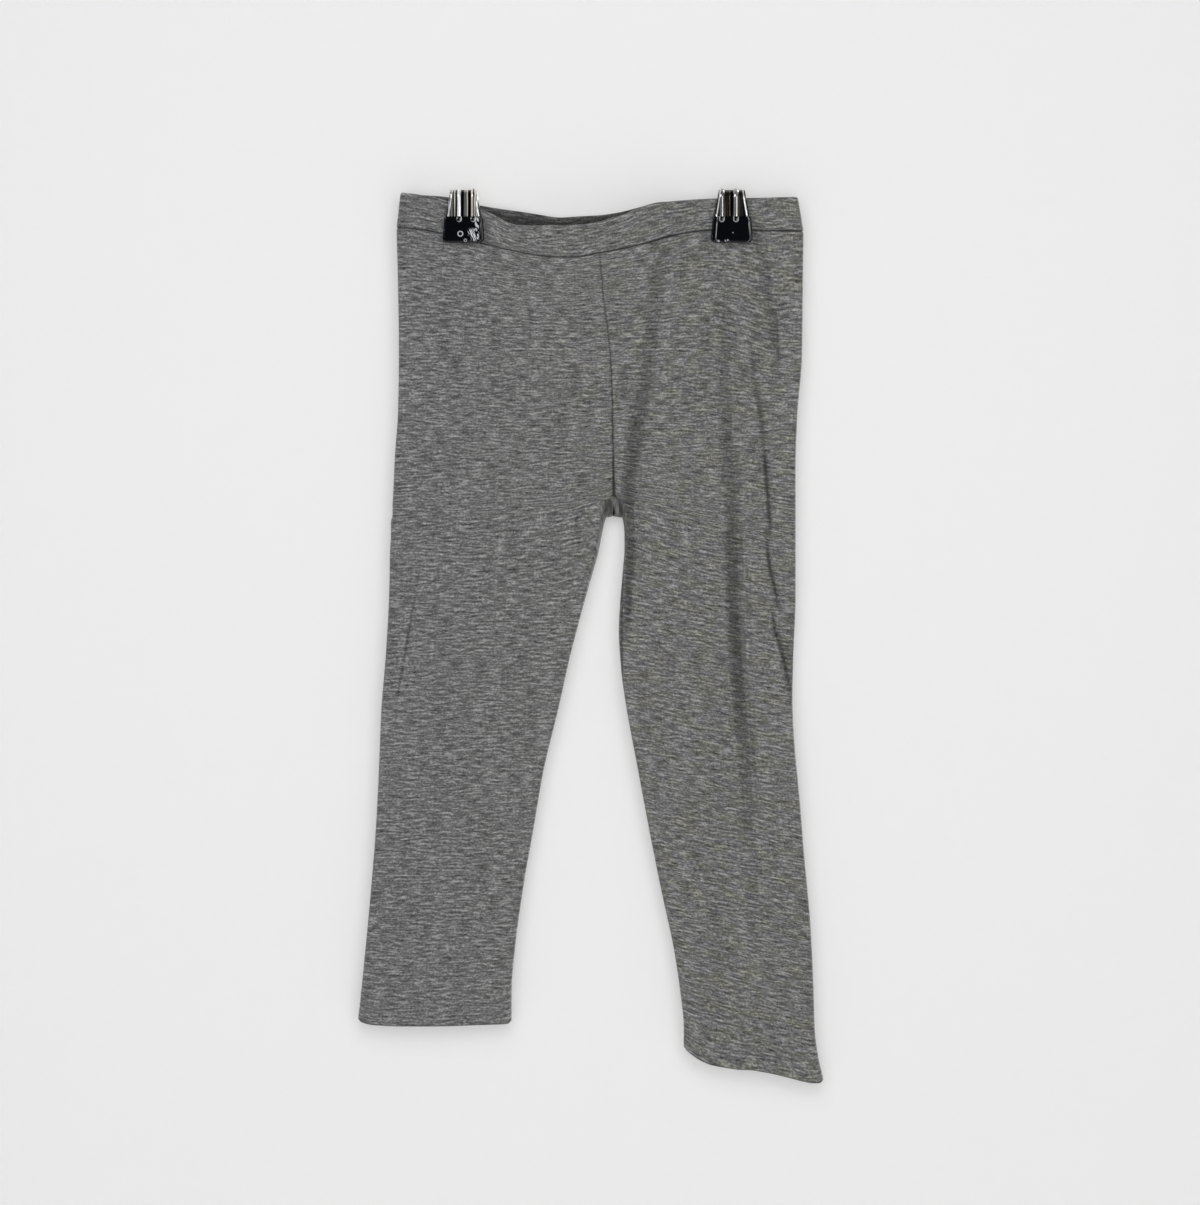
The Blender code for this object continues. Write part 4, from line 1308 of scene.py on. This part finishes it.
def hem_loop(leg, above, outwards):
    """A closed loop round a leg at a height above its hem, moved outwards from the cloth."""
    down = leg.courses[-1].down - np.array([above + HEM_STEP, above, above - HEM_STEP])[:, None]
    share = np.linspace(1.0, 0.0, LOOP_POINTS // 2 + 1)
    share = np.concatenate([share, share[-2:0:-1]])[None, :]
    side = np.where(np.arange(LOOP_POINTS) <= LOOP_POINTS // 2, FRONT, BACK)[None, :]
    down, share, side = np.broadcast_arrays(down, share, side)
    points = leg_points(leg, down, side, share * leg_row(leg, down).length)
    ring = np.concatenate([points[:, -1:], points, points[:, :1]], axis=1)
    return points[1] + normals(ring, leg.inwards)[1, 1:-1] * outwards


def looper_path(leg):
    """The zigzag of the looper thread on the inside of the hem, between the needle rows."""
    low, high = (hem_loop(leg, above, -2 * HEM_RADIUS - LOOPER_THREAD / 2) for above in NEEDLE_ROWS)
    return np.where((np.arange(LOOP_POINTS) % 2 == 0)[:, None], low, high)


def join_meshes(name, meshes, material):
    """One mesh of one material from several, each of which is removed."""
    joined = bmesh.new()
    for mesh in meshes:
        joined.from_mesh(mesh)
    result = bpy.data.meshes.new(name)
    joined.to_mesh(result)
    joined.free()
    result.materials.append(material)
    result.polygons.foreach_set("material_index", np.zeros(len(result.polygons), dtype=int))
    for mesh in meshes:
        bpy.data.meshes.remove(mesh)
    return result


def make_hem_stitches(name, leg, seed):
    values = {"Pitch": STITCH_PITCH, "Grain": (STITCH_LENGTH, THREAD, THREAD),
              "Wobble": STITCH_WOBBLE, "Seed": seed, "Thread": thread}
    loops = [hem_loop(leg, above, STITCH_PROUD) for above in NEEDLE_ROWS]
    rows = [run_group(name, loop, stitches, values) for loop in loops]
    values = {"Radius": LOOPER_THREAD, "Thread": thread}
    rows.append(run_group(name, looper_path(leg), looper, values))
    mesh = join_meshes(name, rows, thread)
    print(name, "faces:", len(mesh.polygons))
    return add_piece(name, mesh, thread, "jersey")


thread = thread_material()
stitches = stitch_group()
looper = thread_group()
right_hem = make_hem_stitches("right_hem_stitches", RIGHT_LEG, 5)
left_hem = make_hem_stitches("left_hem_stitches", LEFT_LEG, 6)

# %% [markdown]
# ## Clips
#
# Each clip is a strip of spring steel bent over an eye for the hanger's rod. Two ribs pressed along
# it keep the jaws stiff, and its edges are turned in. The strip's side view is a path, and its
# section is a row of points across, so a grid of both gives the pressed shape. The jaws are dipped
# in black plastic, which rounds every edge, swells a little, and still shows the ends of the ribs.
# The steel's colour is painted reflection, and the dip carries painted highlights.

# %% Spring steel
STEEL = 0.0009
EYE_RADIUS = 0.00545
EYE_RISE = 0.00440
EYE_CENTRE_Z = -0.0025
JAW_Y = 0.00425
JAW_TOP_Z = -0.0148
STRIP_END_Z = -0.0190
STRIP_LEVELS = (STRIP_END_Z, JAW_TOP_Z, EYE_CENTRE_Z, 0.0030)
STRIP_WIDTHS = (0.0216, 0.0214, 0.0170, 0.0160)
STRIP_STEP = 0.0006
STRIP_COLUMNS = 97
RIB_SPACING = 0.0044
RIB_HALF_WIDTH = 0.0016
RIB_HEIGHT = 0.0009
RIB_BOTTOM_Z = -0.0182
RIB_ROUNDING = 1.2
FLANGE_WIDTH = 0.0016
FLANGE_DEPTH = 0.0014
Clip = namedtuple("Clip", "name x rib_shift")
CLIPS = (Clip("clip_right", CLIP_X[0], 0.0016), Clip("clip_left", CLIP_X[1], -0.0019))
# Painted reflections: streaks of light and warm colour across each clip's steel, in millimetres from
# its middle.
PaintedReflection = namedtuple("PaintedReflection", "x half_width light warm")
PAINTED_REFLECTIONS = {
    "clip_right": table(PaintedReflection, (MM, MM, 1, 1), (
        (-8.9, 0.6, 0.6, 0), (-7.4, 0.9, 0.5, 0.1), (-5.5, 0.6, 0.85, 0.6), (-2.8, 1.1, 1, 0),
        (1.1, 1.1, 0.32, 0), (2.4, 0.5, 0.85, 0.8), (5.5, 0.6, 0.9, 0.6), (6.9, 0.5, 0.75, 0.8),
        (8.2, 0.5, 0.95, 0.2),
    )),
    "clip_left": table(PaintedReflection, (MM, MM, 1, 1), (
        (-6.3, 1.7, 0.36, 0.1), (-3.1, 1.8, 0.07, 1), (-1.3, 0.4, 0.22, 0.8), (2.5, 1.7, 0.42, 0.2),
        (5.7, 1.7, 0.07, 1),
    )),
}
EDGE_LINE = 0.0012
EDGE_LINE_WIDTH = 0.0004
EDGE_LIGHT = 0.9
REFLECTION_SHARPNESS = 1.8
EYE_STEPS = 40
SHOULDER_Z = -0.0135
SMOOTHINGS = 3
FLANGE_TOP_Z, FLANGE_FADE = 0.0010, 0.004
DRAWN_GRAIN = (0.00028, 0.020)
DARK_REFLECTION = (0.010, 0.011, 0.014, 1.0)
BRIGHT_REFLECTION = (0.93, 0.94, 0.95, 1.0)
WARM_REFLECTION = (1.0, 0.88, 0.66, 1.0)
REFLECTION_MATT = 0.85


def strip_path():
    """Side view of a clip's strip: up the front jaw, over the eye and down the rear jaw."""
    turns = np.linspace(math.pi, 0.0, EYE_STEPS)
    eye = np.stack([EYE_RADIUS * np.cos(turns), EYE_CENTRE_Z + EYE_RISE * np.sin(turns)], axis=-1)
    front = np.array([(-JAW_Y, STRIP_END_Z), (-JAW_Y, SHOULDER_Z), eye[0]])
    mirrored = (front * [-1, 1])[::-1]
    outline = np.concatenate([front[:-1], eye, mirrored[1:]])
    run = np.concatenate([[0.0], np.cumsum(np.linalg.norm(np.diff(outline, axis=0), axis=-1))])
    even = np.linspace(0.0, run[-1], round(run[-1] / STRIP_STEP) + 1)
    path = np.stack([np.interp(even, run, outline[:, axis]) for axis in (0, 1)], axis=-1)
    for _ in range(SMOOTHINGS):
        path[1:-1] = path[1:-1] / 2 + (path[:-2] + path[2:]) / 4
    return path


def rib_height(x, z, rib_shift):
    """Height of the two pressed ribs, each with a round lower end, at a place on the strip."""
    past_end = np.maximum(RIB_BOTTOM_Z + RIB_HALF_WIDTH - z, 0.0)
    height = np.zeros(np.broadcast(x, z).shape)
    for rib_x in (rib_shift - RIB_SPACING, rib_shift + RIB_SPACING):
        off = np.hypot(x - rib_x, past_end) / RIB_HALF_WIDTH
        height = np.maximum(height, np.cos(np.clip(off, 0, 1) * math.pi / 2) ** RIB_ROUNDING)
    return height * RIB_HEIGHT


def painted_reflection(clip, across, half):
    """Painted reflections, as streaks that run along the steel, and a painted highlight line inside
    each edge: how light and how warm each place is.
    """
    from_edge_line = half - np.abs(across) - EDGE_LINE
    light = EDGE_LIGHT * np.exp(-(from_edge_line / EDGE_LINE_WIDTH) ** 2)
    warm = np.zeros(light.shape)
    for reflection in PAINTED_REFLECTIONS[clip.name]:
        off = np.abs(across - reflection.x) / reflection.half_width
        strength = ease((1 - off) * REFLECTION_SHARPNESS)
        light = np.maximum(light, reflection.light * strength)
        warm = np.maximum(warm, reflection.warm * strength)
    return light, warm


def make_steel(clip):
    path = strip_path()
    tangent = unit(np.gradient(path, axis=0))
    outward = np.stack([-tangent[:, 1], tangent[:, 0]], axis=-1)
    y, z = path[:, :1], path[:, 1:]
    half = np.interp(z, STRIP_LEVELS, STRIP_WIDTHS) / 2
    across = np.linspace(-1.0, 1.0, STRIP_COLUMNS)[None, :] * half
    edge = np.clip((np.abs(across) - half + FLANGE_WIDTH) / FLANGE_WIDTH, 0, 1)
    below_eye = ease((FLANGE_TOP_Z - z) / FLANGE_FADE)
    push = rib_height(across, z, clip.rib_shift) - FLANGE_DEPTH * edge ** 2 * below_eye
    x = np.broadcast_to(clip.x + across, push.shape)
    points = np.stack([x, y + outward[:, :1] * push, z + outward[:, 1:] * push], axis=-1)
    mesh = sheet_mesh(clip.name + "_steel", points)
    # The painted reflections go onto the strip as its light and warm values.
    for label, values in zip(("light", "warm"), painted_reflection(clip, across, half)):
        store(mesh, label, values)
    piece = add_piece(clip.name + "_steel", mesh, steel, "clip_steel", clip.name + "_spring")
    add_wall(piece, STEEL, 0.0)
    return piece


def steel_material():
    """Plated steel, drawn along its length; its colour is painted reflection, dark with the light and
    warm streaks in the strip's own values.
    """
    material, tree, shader = new_material("plated_steel")
    place = object_place(tree)
    drawn = stretched_noise(part(place, "X"), part(place, "Z"), DRAWN_GRAIN, layer=4.0)
    light = attribute(tree, "light") * (drawn * 2.2 - 0.1)
    plain = blend(light, DARK_REFLECTION, BRIGHT_REFLECTION)
    feed(shader, "Base Color", blend(attribute(tree, "warm"), plain, WARM_REFLECTION, "MULTIPLY"))
    # Where the painted reflection is light, the steel is less metallic, so that the painted colour
    # shows.
    feed(shader, "Metallic", 1.0 - light * REFLECTION_MATT)
    feed(shader, "Roughness", drawn * 0.10 + 0.12)
    feed_bump(shader, drawn, 0.5, 0.0001)
    return material


steel = steel_material()
steels = [make_steel(clip) for clip in CLIPS]

# %% Dipped jaws
DIP_TOP_Z = -0.0146
DIP_BOTTOM_Z = -0.0310
DIP_TOP_WIDTH = 0.0240
DIP_BOTTOM_WIDTH = 0.0266
DIP_HALF_THICKNESS = 0.0018
DIP_EDGE = 0.0012
DIP_CORNER = 0.0032
DIP_SWELL = 0.00030
RIB_SHOWS = 0.60
OUTLINE = 0.00023
FACE_COLUMNS = 110
REAR_COLUMNS = 22
END_STEPS = 9
LEVEL_STEP = 0.00028
TOP_STEPS, CORNER_STEPS = 6, 14
LINE_RELIEF = 0.00012
# Light grey of the painted highlights on the dips.
HIGHLIGHT_GREY = (0.75, 0.76, 0.80, 1.0)
# Rings of painted highlight on the dips, each over a small raised ring.
RingHighlight = namedtuple("RingHighlight", "x z radius shade")
RING_HIGHLIGHTS = {
    "clip_right": (RingHighlight(-0.0019, -0.0256, 0.0015, 1.0), RingHighlight(0.0012, -0.0297, 0.0008, 0.6)),
    "clip_left": (RingHighlight(0.0006, -0.0249, 0.0001, 0.6), RingHighlight(-0.0026, -0.0296, 0.0002, 0.9)),
}
# Patches of painted highlight, broken into slanted runs, on the front jaws only.
HighlightPatch = namedtuple("HighlightPatch", "x z width height shade")
HIGHLIGHT_PATCHES = {
    "clip_right": (HighlightPatch(0.0062, -0.0262, 0.0048, 0.0050, 1.0),
                   HighlightPatch(0.0084, -0.0200, 0.0016, 0.0070, 0.8)),
    "clip_left": (HighlightPatch(-0.0062, -0.0300, 0.0060, 0.0008, 0.5),),
}
# Strengths of the painted highlights round the rib ends and along the two edges of each dip.
RIB_OUTLINES = {"clip_right": (0.1, 1.0), "clip_left": (0.6, 0.6)}
EDGE_OUTLINES = {"clip_right": (0.0, 0.25), "clip_left": (0.7, 0.45)}
EDGE_INSETS = (0.0030, 0.0018)
EDGE_BREAKS = (0.002, 0.0022, 33)
EDGE_BREAK_STRETCH, EDGE_BREAK_CONTRAST = 0.1, 1.6
HIGHLIGHT_RUNS = (0.0005, 0.0019, 31)
HIGHLIGHT_SLANT, HIGHLIGHT_START, HIGHLIGHT_EDGE, HIGHLIGHT_FILL = 0.45, 0.05, 0.25, 3
RIB_OUTLINE_AT, RIB_OUTLINE_BELOW = 0.9, 0.002
LEAST_END = 0.0003
FACE_FADE, RIM_FADE = 0.06, 1.4
CAP_INSET = 0.97
WELD = 0.00002


def dip_levels():
    """Heights of a dip's rings from its top, with each ring's insets at the sides and the faces."""
    rounding = np.linspace(0.0, math.pi / 2, TOP_STEPS)
    corner = np.linspace(math.pi / 2, 0.0, CORNER_STEPS)[1:]
    plain = np.arange(DIP_TOP_Z - DIP_EDGE, DIP_BOTTOM_Z + DIP_CORNER, -LEVEL_STEP)[1:]
    z = np.concatenate([DIP_TOP_Z - DIP_EDGE * (1 - np.cos(rounding)), plain,
                        DIP_BOTTOM_Z + DIP_CORNER * (1 - np.cos(corner))])
    near_top = np.clip((DIP_EDGE - (DIP_TOP_Z - z)) / DIP_EDGE, 0, 1)
    near_bottom = np.clip((DIP_EDGE - (z - DIP_BOTTOM_Z)) / DIP_EDGE, 0, 1)
    in_corner = np.clip((DIP_CORNER - (z - DIP_BOTTOM_Z)) / DIP_CORNER, 0, 1)
    face_inset = DIP_EDGE * (2 - np.sqrt(1 - near_top ** 2) - np.sqrt(1 - near_bottom ** 2))
    side_inset = DIP_EDGE * (1 - np.sqrt(1 - near_top ** 2))
    side_inset = side_inset + DIP_CORNER * (1 - np.sqrt(1 - in_corner ** 2))
    return z[:, None], face_inset[:, None], side_inset[:, None]


def line(off):
    """A thin line: 1 where off is 0."""
    return np.exp(-(off / OUTLINE) ** 2)


def dip_lines(clip, side, x, z, half):
    """Painted highlights on a dip: at rib ends and edges, in rings and, in front only, in runs."""
    past_end = np.maximum(RIB_BOTTOM_Z + RIB_HALF_WIDTH - z, 0.0)
    painted_highlight = np.zeros(np.broadcast(x, z).shape)
    for rib_x in (clip.rib_shift - RIB_SPACING, clip.rib_shift + RIB_SPACING):
        share = ease((x - rib_x) / RIB_HALF_WIDTH / 2 + 0.5)
        low, high = RIB_OUTLINES[clip.name]
        round_rib = line(np.hypot(x - rib_x, past_end) - RIB_HALF_WIDTH * RIB_OUTLINE_AT)
        round_rib = round_rib * (z > RIB_BOTTOM_Z - RIB_OUTLINE_BELOW)
        painted_highlight = np.maximum(painted_highlight, round_rib * (low + (high - low) * share))
    breaks = soft_noise(x * EDGE_BREAK_STRETCH, z, *EDGE_BREAKS)
    broken = ease((0.5 + 0.5 * breaks) * EDGE_BREAK_CONTRAST)
    for sign, shade, inset in zip((-1, 1), EDGE_OUTLINES[clip.name], EDGE_INSETS):
        painted_highlight = np.maximum(painted_highlight, shade * line(x - sign * (half - inset)) * broken)
    for ring_highlight in RING_HIGHLIGHTS[clip.name]:
        ring = line(np.hypot(x - ring_highlight.x, z - ring_highlight.z) - ring_highlight.radius)
        painted_highlight = np.maximum(painted_highlight, ring_highlight.shade * ring)
    if side == BACK:
        return painted_highlight
    runs = soft_noise(x + HIGHLIGHT_SLANT * z, z, *HIGHLIGHT_RUNS)
    runs = ease((runs + HIGHLIGHT_START) / HIGHLIGHT_EDGE)
    for highlight_patch in HIGHLIGHT_PATCHES[clip.name]:
        spread = bell(x, highlight_patch.x, highlight_patch.width) * bell(z, highlight_patch.z, highlight_patch.height)
        painted_highlight = np.maximum(painted_highlight, highlight_patch.shade * ease(spread * HIGHLIGHT_FILL) * runs)
    return painted_highlight


def dip_relief(clip, lines, x, z, half):
    """How far the outer face of a dip stands out: its swell, the ribs below it, and its lines."""
    level = np.clip((z - DIP_BOTTOM_Z) / (DIP_TOP_Z - DIP_BOTTOM_Z), 0, 1)
    relief = DIP_SWELL * (1 - (x / half) ** 2) * (1 - (2 * level - 1) ** 2)
    return relief + RIB_SHOWS * rib_height(x, z, clip.rib_shift) + LINE_RELIEF * lines


def dip_mesh(name, clip, side):
    z, face_inset, side_inset = dip_levels()
    level = (z - DIP_BOTTOM_Z) / (DIP_TOP_Z - DIP_BOTTOM_Z)
    half = (DIP_BOTTOM_WIDTH + (DIP_TOP_WIDTH - DIP_BOTTOM_WIDTH) * level) / 2 - side_inset
    thick = DIP_HALF_THICKNESS - face_inset
    end = np.minimum(DIP_EDGE, np.maximum(thick, LEAST_END))
    face = np.linspace(-1, 1, FACE_COLUMNS)[None, :]
    rear = np.linspace(1, -1, REAR_COLUMNS)[None, :]
    turn = np.linspace(math.pi / 2, -math.pi / 2, END_STEPS)[None, 1:-1]
    x = np.concatenate([face * (half - end), half - end + end * np.cos(turn), rear * (half - end),
                        -(half - end) - end * np.cos(turn)], axis=1)
    out = np.concatenate([thick + 0 * face, thick * np.sin(turn), -thick + 0 * rear,
                          -thick * np.sin(turn)], axis=1)
    painted_highlight = np.zeros(x.shape)
    painted_highlight[:, :FACE_COLUMNS] = dip_lines(clip, side, x[:, :FACE_COLUMNS], z, half)
    relief = dip_relief(clip, painted_highlight[:, :FACE_COLUMNS], x[:, :FACE_COLUMNS], z, half)
    near_ends = ease((1 - np.abs(face)) / FACE_FADE)
    near_rims = ease((DIP_EDGE - face_inset) / DIP_EDGE * RIM_FADE)
    out[:, :FACE_COLUMNS] += relief * near_ends * near_rims
    flat = np.zeros((1, x.shape[1]))
    painted_highlight, out = (np.concatenate([flat, values, flat]) for values in (painted_highlight, out))
    x = np.concatenate([x[:1] * CAP_INSET, x, x[-1:] * CAP_INSET])
    z = np.concatenate([z[:1], z, z[-1:]]) + np.zeros(x.shape)
    points = np.stack([clip.x + x, side * (JAW_Y + out), z], axis=-1)
    mesh = sheet_mesh(name, points, closed=True)
    store(mesh, "painted_highlight", painted_highlight)
    shell = bmesh.new()
    shell.from_mesh(mesh)
    bmesh.ops.remove_doubles(shell, verts=shell.verts[:], dist=WELD)
    rims = [edge for edge in shell.edges if edge.is_boundary]
    bmesh.ops.holes_fill(shell, edges=rims, sides=0)
    bmesh.ops.recalc_face_normals(shell, faces=shell.faces[:])
    shell.to_mesh(mesh)
    shell.free()
    return mesh


def dip_material():
    """Glossy black dip, with slow ripples where it ran before it set, and light grey painted
    highlights.
    """
    material, tree, shader = new_material(
        "black_dip", Specular_IOR_Level=0.3, Coat_Weight=0.2, Coat_Roughness=0.06)
    runs = noise(object_place(tree), detail=1.0, scale=240.0)
    dust = noise(object_place(tree), detail=3.0, scale=1500.0)
    black = ramp(dust, (0.35, (0.0008, 0.0012, 0.0022, 1.0)), (0.75, (0.0020, 0.0028, 0.0045, 1.0)))
    feed(shader, "Base Color", blend(attribute(tree, "painted_highlight"), black, HIGHLIGHT_GREY))
    feed(shader, "Roughness", dust * 0.10 + 0.08)
    feed_bump(shader, runs, 0.25, 0.0003)
    return material


def make_dip(clip, side):
    end = "front" if side == FRONT else "back"
    name = clip.name + "_dip_" + end
    return add_piece(name, dip_mesh(name, clip, side), dip, "clip_tip", clip.name + "_tip_" + end)


dip = dip_material()
dips = [make_dip(clip, side) for clip in CLIPS for side in (FRONT, BACK)]
choose_lit(lamp_objects["sky"], "EXCLUDE", *steels, *dips)
print("clip pieces:", len(dips) + len(CLIPS))
